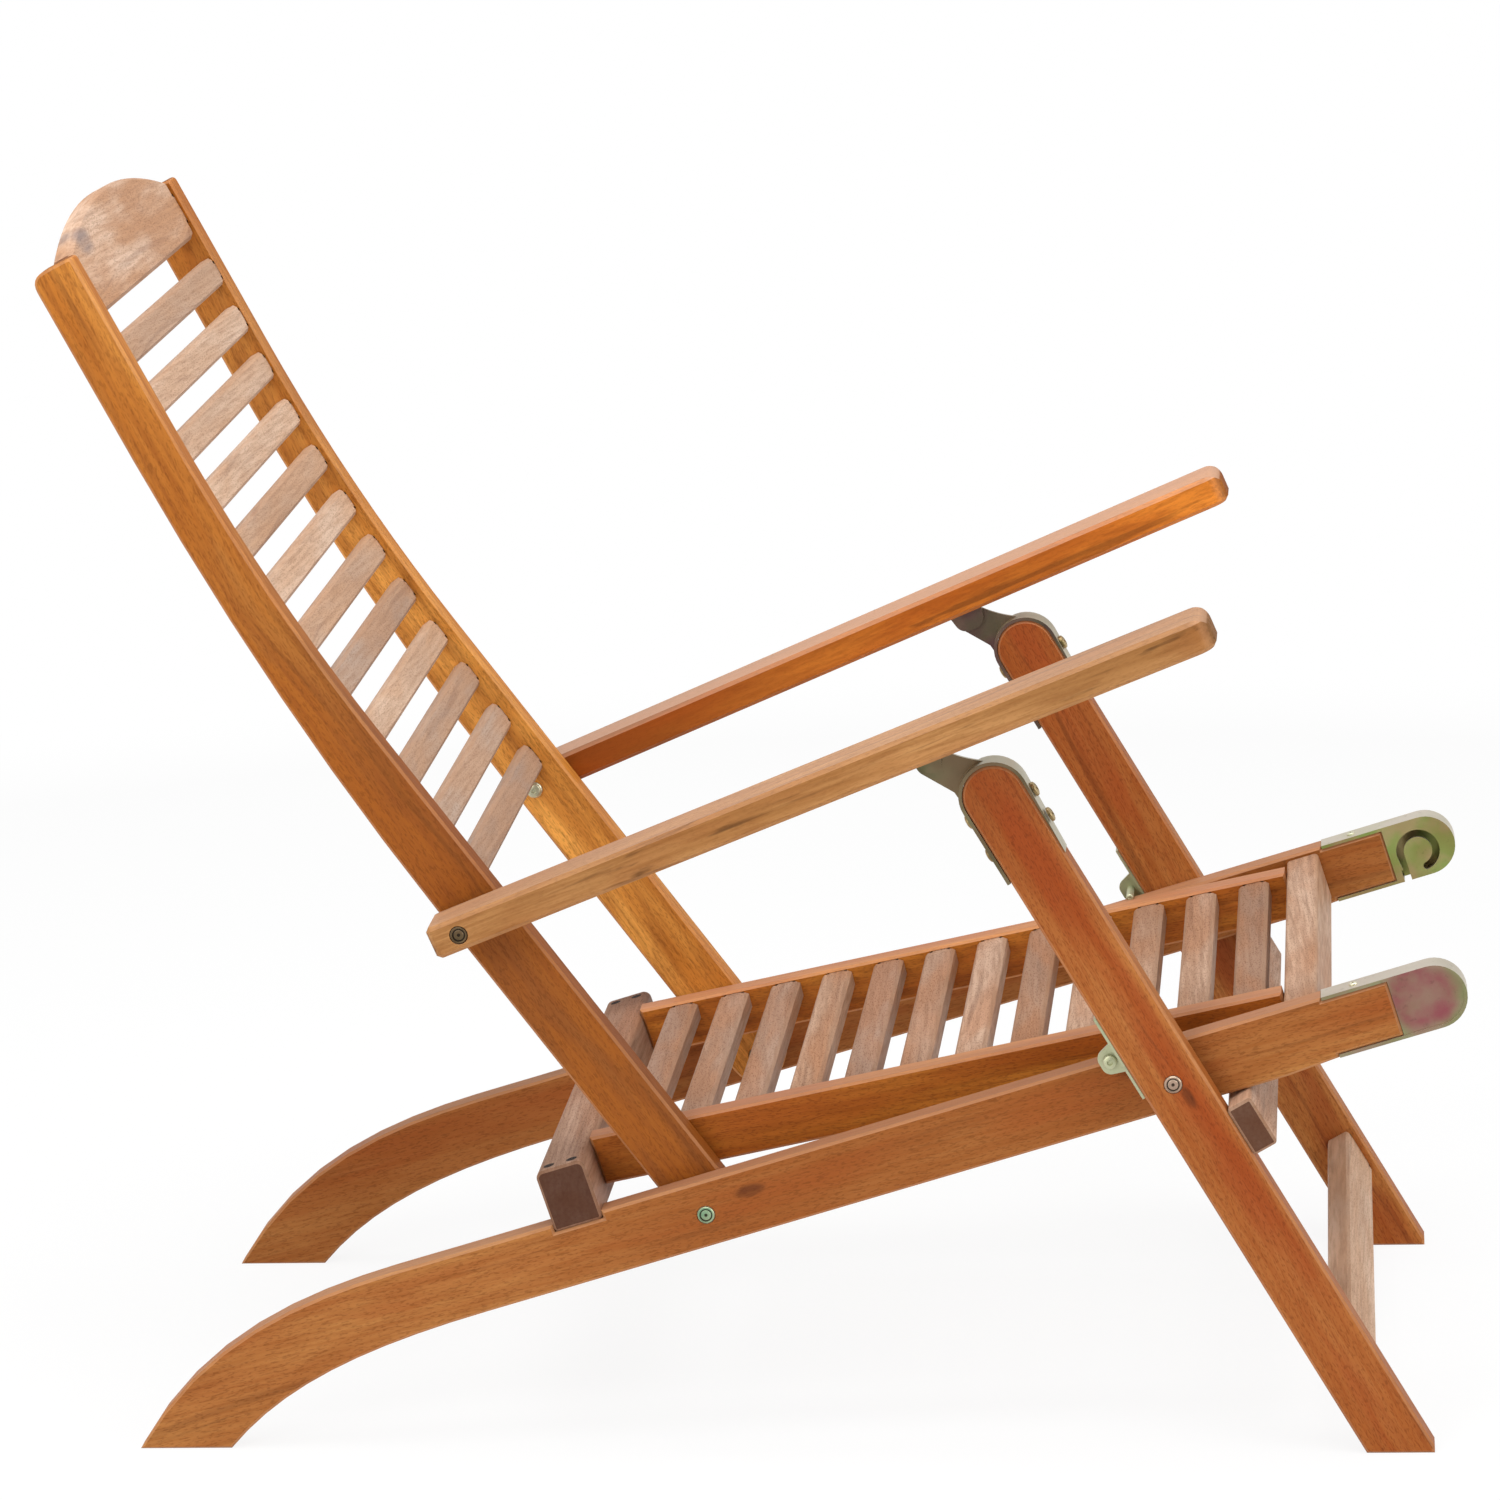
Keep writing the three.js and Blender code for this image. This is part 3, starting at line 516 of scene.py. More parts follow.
@dataclass(frozen=True)
class WoodFinish:
    """Oiled hardwood: its colours, how strongly each part of its figure shows, and the painted
    highlights and shade on its edges and upward faces.

    It has so many rings to a metre, and knot_rings more at a knot's heart. They drift and sway
    by metres, wave by rings, and sink so much for each metre along the board.
    """

    pale: int
    middle: int
    dark: int
    vein: int
    blush: int
    # The edge colour is painted on the eased edges: a highlight in this pale tone, and painted
    # shade in the darker tones of the pale slat finishes.
    edge: int = 0xD6A074
    smoke: int = 0x54290F
    # A painted highlight that lightens the faces that look up.
    painted_top_light: int = 0xC8A288
    length_share: float = 0.45
    darkening_share: float = 0.9
    heart_share: float = 0.5
    ring_share: float = 0.2
    vein_share: float = 0.3
    fibre_share: float = 0.36
    pore_share: float = 0.42
    edge_share: float = 0.26
    end_share: float = 0.5
    knot_share: float = 0.75
    painted_top_light_share: float = 0.0
    rings: float = 170
    knot_rings: float = 5
    ring_drift: float = 50 * MM
    ring_sway: float = 20 * MM
    ring_wave: float = 0.7
    ring_sink: float = 0.035
    tone_spread: float = 0.6
    roughness: float = 0.46
    fibre_rough: float = 0.16
    pore_rough: float = 0.12
    end_rough: float = 0.15
    shine: float = 0.16
    relief: float = 0.4 * MM

    def material(self, name: str, cut: Cut) -> bpy.types.Material:
        """Make the wood's material for one way of cutting it.

        Args:
            name: The material's name.
            cut: How the board was cut.

        Returns:
            The material.
        """
        g = Graph.named(name)
        board = Board(g, cut)
        swirl = board.swirl()
        late = self.late_wood(board, swirl)
        flame = board.noise(FLAME)
        fibre = board.noise(FIBRE)
        # Pores show least on the narrow faces.
        pore = board.share(PORE) * (board.facing[2].smooth(0.5, 0.9) * 0.7 + 0.3)
        end = board.facing[0].smooth(0.45, 0.95)
        layers = [
            (board.heart() * self.heart_share, self.blush),
            (late * self.ring_share, self.dark),
            (flame.smooth(FLAME.low, FLAME.high) * self.vein_share, self.vein),
            (fibre.smooth(FIBRE.low, FIBRE.high) * self.fibre_share, self.dark),
            (pore * self.pore_share, self.vein),
            (end * self.end_share, self.vein),
            # The eased edges take the edge colour: a painted highlight on most finishes, painted
            # shade on the pale slat finishes.
            (board.edge() * self.edge_share, self.edge),
        ]
        # Faces that look up get a painted highlight.
        if self.painted_top_light_share:
            layers.append((board.upward() * self.painted_top_light_share, self.painted_top_light))
        if swirl is not None:
            streak = flame.smooth(0.3, 0.6) * 0.5 + 0.5
            spot = swirl.smooth(0.3, 0.95) * streak
            layers.append((spot * self.knot_share, self.smoke))
        color = self.ground(board)
        for share, code in layers:
            color = g.mix(share, color, paint(code))
        rough = self.roughness + fibre * self.fibre_rough
        rough = rough + pore * self.pore_rough + end * self.end_rough
        height = fibre * 0.5 - pore * 0.7 + late * 0.25
        return g.principled(
            {"Base Color": color, "Roughness": rough, "Specular IOR Level": self.shine},
            {"Strength": 0.35, "Distance": self.relief, "Height": height},
        )

    def late_wood(self, board: Board, swirl: Field | None) -> Field:
        """Return 1 in the dark part of each year's ring.

        Args:
            board: The board's own coordinates.
            swirl: Where knots turn the rings.

        Returns:
            The rings as a field.
        """
        g = board.g
        aside, below = board.cut.pith
        drift = (board.noise(DRIFT) - 0.5) * self.ring_drift
        across = board.across + aside + drift
        deep = board.deep + below + board.sway * self.ring_sway + board.along * self.ring_sink
        radius = g.measure("LENGTH", g.vector(across, deep, 0))
        count = radius * self.rings + board.sway * self.ring_wave
        if swirl is not None:
            count = count + swirl * self.knot_rings
        ring = count.fraction()
        return ring.smooth(0.35, 0.92) * ring.smooth(1.0, 0.93)

    def ground(self, board: Board) -> bpy.types.NodeSocket:
        """Return the board's colour before its finer figure.

        Args:
            board: The board's own coordinates.

        Returns:
            The colour's socket.
        """
        g = board.g
        tone = board.share(CLOUD) * 0.5 + board.share(BAND) * 0.5
        color = g.mix(tone, paint(self.pale), paint(self.middle))
        color = g.mix(board.share(LENGTH) * self.length_share, color, paint(self.dark))
        if board.cut.darkening:
            share = board.along.smooth(*board.cut.darkening) * self.darkening_share
            color = g.mix(share, color, paint(self.dark))
        if board.cut.pitch:
            color = self.vary_by_slat(board, color)
        return color

    def vary_by_slat(self, board: Board, color: bpy.types.NodeSocket) -> bpy.types.NodeSocket:
        """Give each slat of a row its own tone.

        Args:
            board: The coordinates of the row.
            color: The colour so far.

        Returns:
            The varied colour's socket.
        """
        g = board.g
        rank = ((board.across - board.cut.first) * (1 / board.cut.pitch)).floor()
        settings = {"noise_dimensions": "1D"}
        chances = [
            g.field("ShaderNodeTexWhiteNoise", settings, {"W": rank + start})
            for start in SLAT_SEEDS
        ]
        color = g.mix(chances[0] * self.tone_spread, color, paint(self.dark))
        color = g.mix(chances[1].smooth(0.5, 1) * self.tone_spread, color, paint(self.smoke))
        return g.mix(chances[2].smooth(0.5, 1) * self.tone_spread, color, paint(self.pale))


@dataclass(frozen=True)
class RecessShade:
    """Painted shade in the recesses of a round head: its middle and the radii that it lies
    between.
    """

    middle: tuple[float, float]
    bands: tuple[tuple[float, float], ...]
    blur: float = 0.25 * MM

    def mask(self, g: Graph, place: bpy.types.NodeSocket) -> Field:
        """Find the painted shade.

        Args:
            g: The material's graph.
            place: Where on the head.

        Returns:
            1 where the painted shade lies.
        """
        x = g.dot(place, Vector((1, 0, 0))) - self.middle[0]
        z = g.dot(place, Vector((0, 0, 1))) - self.middle[1]
        radius = g.measure("LENGTH", g.vector(x, 0, z))
        masks = [radius.between(low, high, self.blur) for low, high in self.bands]
        return reduce(Field.larger, masks)


@dataclass(frozen=True)
class Spots:
    """Soft spots on metal: how many to a metre, how fine, and the noise they fade in over."""

    scale: float
    detail: float
    low: float = 0
    high: float = 1

    def share(self, g: Graph, place: bpy.types.NodeSocket) -> Field:
        """Return how far the spots' noise lies from its low to its high."""
        return g.noise(place, self.scale, self.detail).smooth(self.low, self.high)


GREEN_CLOUD = Spots(34, 3, 0.4, 0.62)
ROSE_CLOUD = Spots(22, 2, 0.38, 0.66)
SCUFF = Spots(210, 4, 0.6, 0.8)
MOTTLE = Spots(75, 3, 0.3, 0.72)
SPECK = Spots(900, 2)


@dataclass(frozen=True)
class ZincFinish:
    """Yellow-passivated zinc plate: silvery edges, and green and rose clouds on its sides."""

    base: int = 0xC8C2A8
    side: int = 0x9C9A78
    green: int = 0x7F8A62
    rose: int = 0x9A6468
    # The next colour is dirt in the scuffs, and painted shade in a round head's recesses.
    soil_and_shade: int = 0x30261E
    rose_share: float = 0.35
    edge_share: float = 0.15
    soil_share: float = 0.3
    recess_shade_share: float = 0.9
    metallic: float = 0.9
    roughness: float = 0.3
    cloud_rough: float = 0.14
    speck_rough: float = 0.1
    relief: float = 0.2 * MM
    bloom_drift: float = 30 * MM

    def material(
        self, name: str, recess_shade: RecessShade | None = None, bloom: Knot | None = None
    ) -> bpy.types.Material:
        """Make the metal's material.

        Args:
            name: The material's name.
            recess_shade: Painted shade in a round head's recesses.
            bloom: A rose cloud on its side.

        Returns:
            The material.
        """
        g = Graph.named(name)
        outputs = g.node("ShaderNodeTexCoord", {}, {}).outputs
        place = outputs["Object"]
        sideways = abs(g.dot(outputs["Normal"], Vector((0, 1, 0)))).smooth(0.6, 0.95)
        clouded = sideways * (1 - self.edge_share) + self.edge_share
        cloud = g.noise(place, GREEN_CLOUD.scale, GREEN_CLOUD.detail)
        patch = g.noise(place, ROSE_CLOUD.scale, ROSE_CLOUD.detail)
        speck = g.noise(place, SPECK.scale, SPECK.detail)
        greening = cloud.smooth(GREEN_CLOUD.low, GREEN_CLOUD.high) * clouded
        blushing = patch.smooth(ROSE_CLOUD.low, ROSE_CLOUD.high) * clouded * self.rose_share
        if bloom:
            drift = (patch - 0.5) * self.bloom_drift
            blushing = blushing.larger(self.bloom_mask(g, place, bloom, drift) * sideways)
        color = g.mix(sideways, paint(self.base), paint(self.side))
        color = g.mix(greening, color, paint(self.green))
        color = g.mix(blushing, color, paint(self.rose))
        color = g.mix(SCUFF.share(g, place) * self.soil_share, color, paint(self.soil_and_shade))
        # Painted shade darkens the recesses of a round head.
        if recess_shade:
            color = g.mix(recess_shade.mask(g, place) * self.recess_shade_share, color, paint(self.soil_and_shade))
        rough = self.roughness + cloud * self.cloud_rough + speck * self.speck_rough
        return g.principled(
            {"Base Color": color, "Metallic": self.metallic, "Roughness": rough},
            {"Strength": 0.2, "Distance": self.relief, "Height": speck},
        )

    @staticmethod
    def bloom_mask(g: Graph, place: bpy.types.NodeSocket, bloom: Knot, drift: Field) -> Field:
        """Return a mottled disc that is a little fainter at its middle.

        Args:
            g: The material's graph.
            place: Where on the metal.
            bloom: The disc's middle, radius and strength.
            drift: How far its outline strays.

        Returns:
            The disc's strength.
        """
        near = g.measure("DISTANCE", place, bloom.place) + drift
        disc = near.smooth(bloom.radius * 1.25, bloom.radius * 0.6)
        mottle = MOTTLE.share(g, place) * 0.35 + 0.65
        hole = near.smooth(0, bloom.radius * 0.7) * 0.3 + 0.7
        return disc * mottle * hole * bloom.depth


RAIL_WOOD = WoodFinish(
    0xB2783F, 0x9A5624, 0x884816, 0x522809, 0x944716,
    pore_share=0.32, painted_top_light_share=0.3,
)
SEAT_RAIL_WOOD = WoodFinish(
    0xD08431, 0xA85C17, 0x87450F, 0x4A2206, 0x9E4711,
    pore_share=0.34, painted_top_light_share=0.35,
)
BACK_WOOD = WoodFinish(
    0xF7AF53, 0xC87927, 0x804215, 0x522606, 0xA95E15,
    pore_share=0.3,
)
LEG_WOOD = WoodFinish(
    0xC58547, 0xA85C21, 0x883C0F, 0x521E06, 0x94330A,
    vein_share=0.45, pore_share=0.34,
)
ARM_WOOD = WoodFinish(
    0xC6925B, 0x9F6D39, 0x804E20, 0x482A10, 0x985D2F,
    vein_share=0.7, edge_share=0.15, painted_top_light_share=0.4,
)
FAR_ARM_WOOD = WoodFinish(
    0xE78C31, 0xB86418, 0x8A430D, 0x4C2808, 0xA84E0F,
    vein_share=0.5, edge_share=0.15, painted_top_light_share=0.75,
)
# The pale slat finishes have darker edge colours: painted shade on their eased edges, and on the
# headboard's crown also its darker end grain.
SLAT_WOOD = WoodFinish(
    0xEBCEB5, 0xCDAA8D, 0xA17A5E, 0x6C4636, 0xC5956E,
    edge=0xA07C64, smoke=0x7C6E6A, end_share=0.75, pore_share=0.24,
)
HEADBOARD_WOOD = WoodFinish(
    0xE3C5AD, 0xC9A183, 0xA2785B, 0x6C4636, 0xB68258,
    edge=0xA07C64, smoke=0x74686A, heart_share=0.75, end_share=0.45, pore_share=0.26,
)
SEAT_WOOD = WoodFinish(
    0xD4B39A, 0xAE886B, 0x855E45, 0x4E2C1C, 0xA86D42,
    edge=0xA88468, smoke=0x8C7468, end_share=0.9, pore_share=0.3,
)
BEAM_WOOD = WoodFinish(
    0xB9967F, 0x987258, 0x744E38, 0x432315, 0x935B35,
    edge=0x9A7054, smoke=0x6C5448, end_share=0.9, pore_share=0.3,
)
ZINC = ZincFinish(0xE0DCC6, 0xC6C6A4, 0xA8B090)
WARM_ZINC = ZincFinish(0xD8C8B0, 0xBCA48C, 0xA09078, rose_share=0.2)
LUG_ZINC = ZincFinish(0xCCCCB0, 0xC0C2A0, 0xB0B894, rose_share=0.1, roughness=0.42)
HOOK_ZINC = ZincFinish(0xD0C6B6, 0xA09478, 0x8E9468, 0x98545A, rose_share=0.3)
FAR_HOOK_ZINC = ZincFinish(0xD6CCBC, 0xB4A676, 0x93A65C, 0x8A6A3E, rose_share=0.5)
BRACKET_ZINC = ZincFinish(0xC4BDA6, 0x867C5E, 0x6A7050, 0x6E463A, rose_share=0.45)
FAR_BRACKET_ZINC = ZincFinish(0xC4B89C, 0x7C6858, 0x66604A, 0x583842, rose_share=0.7)
GOLD_ZINC = ZincFinish(0xBCA67C, 0xA89468, 0x7A6E46, 0x5E3C24, rose_share=0.5)
BRONZE_ZINC = ZincFinish(0x8A7862, 0x6A563E, 0x5A5238, 0x5A3226, rose_share=0.5)
GREEN_ZINC = ZincFinish(0xC8CCAC, 0x9AB08C, 0x78A482, rose_share=0.1)
# Near-black paint on the beam's screws, which stands for the shade in their deep countersunk
# holes.
HOLE_SHADE_ZINC = ZincFinish(
    0x1E1410, 0x1E1410, 0x18120C, rose_share=0.1, metallic=0.1, roughness=0.7
)


@dataclass
class Assembly:
    """What the sub-assemblies share: smooth copies of CAD pieces and their finishes.

    Points closer than weld are joined, faces that turn less than flat degrees are one, and
    edges sharper than crease degrees stay sharp.
    """

    weld: float = 0.01 * MM
    flat: float = 0.4
    crease: float = 32

    def dress(self, names: list[str], material: bpy.types.Material) -> None:
        """Give CAD pieces a material.

        Args:
            names: The CAD nodes.
            material: Their material.
        """
        for name in names:
            for slot in frame["nodes"][name].material_slots:
                slot.material = material
            log.info("%s wears %s", name, material.name)

    def smooth(self, name: str, slot: str, material: bpy.types.Material, body: str) -> None:
        """Show a copy of a CAD piece whose curved faces are shaded smooth.

        Args:
            name: The CAD node.
            slot: The record's material slot.
            material: The copy's material.
            body: The CAD body it rides on.
        """
        bm = bmesh.new()
        bm.from_mesh(frame["nodes"][name].data)
        bmesh.ops.remove_doubles(bm, verts=bm.verts, dist=self.weld)
        bmesh.ops.dissolve_limit(
            bm, angle_limit=math.radians(self.flat), verts=bm.verts, edges=bm.edges
        )
        bmesh.ops.triangulate(bm, faces=bm.faces)
        piece = self.piece(name + "_shown", bm, material, slot, body, self.crease)
        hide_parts(name)

    @staticmethod
    def piece(
        name: str,
        bm: bmesh.types.BMesh,
        material: bpy.types.Material,
        slot: str,
        body: str,
        crease: float = 40,
    ) -> bpy.types.Object:
        """Turn a mesh into a piece of the chair.

        Args:
            name: The piece's name.
            bm: Its mesh, in place in the row frame, which is freed.
            material: Its material.
            slot: The record's material slot; not used.
            body: The CAD body it rides on.
            crease: Edges sharper than this many degrees stay sharp.

        Returns:
            The new object.
        """
        bm.normal_update()
        for face in bm.faces:
            face.smooth = True
        for edge in bm.edges:
            turn = edge.calc_face_angle(math.pi) if len(edge.link_faces) == 2 else math.pi
            edge.smooth = turn < math.radians(crease)
        mesh = bpy.data.meshes.new(name)
        bm.to_mesh(mesh)
        bm.free()
        for attribute in ("custom_normal", "UVMap"):
            if attribute in mesh.attributes:
                mesh.attributes.remove(mesh.attributes[attribute])
        piece = bpy.data.objects.new(name, mesh)
        bpy.context.scene.collection.objects.link(piece)
        mesh.materials.clear()
        mesh.materials.append(material)
        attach(piece, body)
        log.info("%s rides on %s", name, body)
        return piece


def circle(radius: float, count: int) -> list[tuple[float, float]]:
    """Return evenly spaced points around the origin."""
    angles = [2 * math.pi * k / count for k in range(count)]
    return [(radius * math.cos(angle), radius * math.sin(angle)) for angle in angles]


def head_mesh(
    rings: list[list[tuple[float, float, float]]], seat: Vector, outward: Vector
) -> bmesh.types.BMesh:
    """Join the rings of a head from its top down, and move it to its seat.

    Args:
        rings: The points of each ring, or one point where the head closes on its axis.
        seat: The middle of its underside.
        outward: The way it faces.

    Returns:
        A closed mesh.
    """
    bm = bmesh.new()
    rows = [[bm.verts.new(corner) for corner in ring] for ring in rings]
    for upper, lower in zip(rows, rows[1:]):
        for k in range(max(len(upper), len(lower))):
            corners = [
                upper[k % len(upper)],
                lower[k % len(lower)],
                lower[(k + 1) % len(lower)],
                upper[(k + 1) % len(upper)],
            ]
            bm.faces.new(list(dict.fromkeys(corners)))
    if len(rows[-1]) > 1:
        bm.faces.new(list(reversed(rows[-1])))
    turn = outward.to_track_quat("Z", "Y").to_matrix().to_4x4()
    bmesh.ops.transform(bm, matrix=Matrix.Translation(seat) @ turn, verts=bm.verts)
    return bm


class Drive(Enum):
    """The recess in a screw's head."""

    CROSS = "cross"
    HEX = "hex"


@dataclass(frozen=True)
class ScrewHead:
    """A domed screw or bolt head with a driving recess, in metres."""

    radius: float
    height: float
    drive: Drive
    reach: float
    depth: float
    crown_share: float = 0.55
    arm_share: float = 0.24
    steps: int = 14
    segments: int = 36

    def recessed(self, x: float, y: float) -> float:
        """Find how deep the recess is at a point of the head.

        Args:
            x: The point's place from the head's axis.
            y: Its place square to that.

        Returns:
            How far below the dome it lies.
        """
        if self.drive is Drive.CROSS:
            arm = self.reach * self.arm_share
            inside = min(abs(x), abs(y)) < arm and max(abs(x), abs(y)) < self.reach
            return self.depth if inside else 0
        directions = [math.radians(60 * i) for i in range(3)]
        across = max(abs(x * math.cos(a) + y * math.sin(a)) for a in directions)
        return self.depth if across < self.reach else 0

    def mesh(self, seat: Vector, outward: Vector) -> bmesh.types.BMesh:
        """Build the head where it sits.

        Args:
            seat: The middle of its underside.
            outward: The way it faces.

        Returns:
            A closed mesh.
        """
        crown = self.height * self.crown_share
        wall = self.height - crown
        rings = [[(0, 0, self.height - self.recessed(0, 0))]]
        for i in range(1, self.steps + 1):
            dome = wall + crown * math.sqrt(1 - (i / self.steps) ** 2)
            points = circle(self.radius * i / self.steps, self.segments)
            rings.append([(x, y, dome - self.recessed(x, y)) for x, y in points])
        rings.append([(x, y, 0) for x, y, _ in rings[-1]])
        return head_mesh(rings, seat, outward)


@dataclass(frozen=True)
class TurnedHead:
    """A round head turned from a profile of (radius, height) points in mm, ends on the axis."""

    profile: tuple[tuple[float, float], ...]
    segments: int = 40

    def mesh(self, seat: Vector, outward: Vector) -> bmesh.types.BMesh:
        """Build the head where it sits.

        Args:
            seat: The middle of its underside.
            outward: The way it faces.

        Returns:
            A closed mesh.
        """
        rings = []
        for radius, height in self.profile:
            points = circle(radius * MM, self.segments if radius else 1)
            rings.append([(x, y, height * MM) for x, y in points])
        return head_mesh(rings, seat, outward)


SUNK_SCREW = ScrewHead(4.4 * MM, 0.8 * MM, Drive.CROSS, 2.3 * MM, 0.3 * MM)
PLATE_SCREW = ScrewHead(5.6 * MM, 3.4 * MM, Drive.CROSS, 3.2 * MM, 1.7 * MM)
SMALL_SCREW = ScrewHead(3.4 * MM, 1.5 * MM, Drive.CROSS, 2.1 * MM, 0.9 * MM)
STUD_HEAD = ScrewHead(5.2 * MM, 3 * MM, Drive.HEX, 1.9 * MM, 1.6 * MM)
STUD_CAP = ScrewHead(2.9 * MM, 2 * MM, Drive.HEX, 1 * MM, 0.4 * MM)
SCREW_CAP = ScrewHead(5.4 * MM, 2.6 * MM, Drive.HEX, 1.8 * MM, 1.4 * MM)
SOCKET_CAP = TurnedHead((
    (0, 0.1), (1.1, 0.1), (1.3, 0.9), (3.4, 1.1), (3.8, 0.8), (3.9, 0.1),
    (4.7, 0.1), (4.9, 1.1), (5.9, 1.3), (6.5, 0.8), (6.7, 0), (0, 0),
))
# Radii of the painted shade in a socket cap's centre hole and groove.
SOCKET_SHADE_BANDS = ((-1 * MM, 1.2 * MM), (3.8 * MM, 4.8 * MM))


@dataclass
class Base(Assembly):
    """Side rails, seat, cross members and footrest hooks."""

    body: str = "base"
    rail_knot: Knot = Knot(RAIL_LINE.at(-328 * MM, 7 * MM, -233 * MM), 6 * MM)
    rail_heart: tuple[float, float] = (4 * MM, 16 * MM)
    slat_pitch: float = 42.75 * MM
    slat_lead: float = 9 * MM
    hook_cloud: Knot = Knot(RAIL_LINE.at(192 * MM, 4 * MM, -234 * MM), 26 * MM)
    hook_top: float = 24.8 * MM
    hook_bottom: float = -23.1 * MM
    hook_middle: float = 222 * MM
    hook_screw: float = 145 * MM
    beam_top: float = 24 * MM
    beam_screw_inset: float = 11 * MM
    beam_screw_gap: float = 18 * MM

    def build(self) -> None:
        """Dress the base and set its screws."""
        cut = Cut(RAIL_LINE, Face.SIDEWAYS, knots=(self.rail_knot,), heart=self.rail_heart)
        rail = RAIL_WOOD.material("rail_wood_long", cut)
        cut = Cut(SEAT_LINE, Face.SIDEWAYS, (90 * MM, 80 * MM))
        seat = SEAT_RAIL_WOOD.material("rail_wood_seat", cut)
        for side in SIDES:
            self.smooth(side + "_side_rail", "rail_wood", rail, self.body)
        self.dress([side + "_seat_rail" for side in SIDES], seat)
        slats = [name for name in frame["nodes"] if name.startswith("seat_slat_")]
        first = SEAT_LINE.reach(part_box("seat_slat_1")[0]) - self.slat_lead
        cut = Cut(
            SEAT_LINE, Face.CROSSWISE, (30 * MM, 140 * MM), pitch=self.slat_pitch, first=first
        )
        self.dress(slats, SEAT_WOOD.material("slat_wood_seat", cut))
        cut = Cut(RAIL_LINE, Face.CROSSWISE, (40 * MM, 100 * MM))
        self.dress(["front_crossbar"], SEAT_WOOD.material("slat_wood_crossbar", cut))
        self.dress(["rear_seat_beam"], BEAM_WOOD.material("slat_wood_beam", cut))
        metals = {
            "right": HOOK_ZINC.material("zinc_hook_right", bloom=self.hook_cloud),
            "left": FAR_HOOK_ZINC.material("zinc_hook_left"),
        }
        screw = ZINC.material("zinc_screw")
        # The beam's screws sit deep in their holes; their near-black colour is painted shade.
        dark = HOLE_SHADE_ZINC.material("zinc_sunk_screw_shade")
        for side, sign in SIDES.items():
            self.smooth(side + "_footrest_hook", "zinc", metals[side], self.body)
            self.set_hook_screws(side, sign, screw)
            self.set_beam_screws(side, sign, dark)

    def set_hook_screws(self, side: str, sign: int, material: bpy.types.Material) -> None:
        """Put a screw in the top and the underside of each hook's strap.

        Args:
            side: The side's name.
            sign: 1 on the left and -1 on the right.
            material: The screws' material.
        """
        for row, v, way in (("top", self.hook_top, 1), ("low", self.hook_bottom, -1)):
            seat = RAIL_LINE.at(self.hook_screw, v, sign * self.hook_middle)
            bm = SMALL_SCREW.mesh(seat, RAIL_LINE.left * way)
            self.piece(f"{side}_hook_{row}_screw", bm, material, "zinc", self.body)

    def set_beam_screws(self, side: str, sign: int, material: bpy.types.Material) -> None:
        """Put two screws in the top of the rear beam near its end, near-black to paint the shade
        of their deep holes.

        Args:
            side: The side's name.
            sign: 1 on the left and -1 on the right.
            material: The screws' near-black material, painted shade for their holes.
        """
        low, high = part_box("rear_seat_beam")
        middle = Vector(((low.x + high.x) / 2, 0, (low.z + high.z) / 2))
        top = middle + RAIL_LINE.left * self.beam_top
        for i, step in enumerate((-0.5, 0.5)):
            seat = top + RAIL_LINE.along * step * self.beam_screw_gap
            seat.y = sign * (high.y - self.beam_screw_inset)
            bm = SUNK_SCREW.mesh(seat, RAIL_LINE.left)
            self.piece(f"{side}_beam_screw_{i + 1}", bm, material, "zinc", self.body)


@dataclass
class Back(Assembly):
    """Stiles, slats and the crowned headboard."""

    body: str = "back"
    bend: float = 565 * MM
    bend_angle: float = 9.1
    # The near stile grows darker towards its lower end: partly painted shade, partly the wood's
    # own tone. The far stile has no such darkening.
    darkening: tuple[float, float] = (900 * MM, 330 * MM)
    slat_slope: float = 121.7
    slat_pitch: float = 41.8 * MM
    slat_lead: float = 21 * MM
    knot_radius: float = 13 * MM
    near_knot: tuple[float, float] = (14 * MM, -134 * MM)
    far_knot: tuple[float, float] = (8 * MM, 70 * MM)
    far_knot_depth: float = 0.45

    def build(self) -> None:
        """Dress the back."""
        crook = BACK_LINE.at(self.bend, 0)
        lean = Line((crook.x, crook.z), BACK_LINE.slope - self.bend_angle)
        for side, darkening in (("right", self.darkening), ("left", None)):
            cut = Cut(
                BACK_LINE, Face.SIDEWAYS, (60 * MM, 100 * MM), bent=lean, darkening=darkening
            )
            stile = BACK_WOOD.material("back_wood_" + side, cut)
            self.smooth(side + "_back_stile", "back_wood", stile, self.body)
        slats = [name for name in frame["nodes"] if name.startswith("back_slat_")]
        row = Line(BACK_PIVOT, self.slat_slope)
        low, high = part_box("back_slat_1")
        first = row.reach((low + high) / 2) - self.slat_lead
        cut = Cut(row, Face.CROSSWISE, (50 * MM, 120 * MM), pitch=self.slat_pitch, first=first)
        self.dress(slats, SLAT_WOOD.material("slat_wood_back", cut))
        knots = self.headboard_knots(lean)
        cut = Cut(lean, Face.CROSSWISE, (20 * MM, 160 * MM), knots=knots)
        board = HEADBOARD_WOOD.material("slat_wood_headboard", cut)
        self.smooth("headboard", "slat_wood", board, self.body)

    def headboard_knots(self, lean: Line) -> tuple[Knot, Knot]:
        """Return the headboard's near knot and its fainter far one.

        Args:
            lean: The line that the headboard leans along.

        Returns:
            The knots.
        """
        low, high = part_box("headboard")
        places = [
            (low + high) / 2 + lean.along * rise + Vector((0, y, 0))
            for rise, y in (self.near_knot, self.far_knot)
        ]
        near = Knot(places[0], self.knot_radius)
        return near, Knot(places[1], self.knot_radius, self.far_knot_depth)


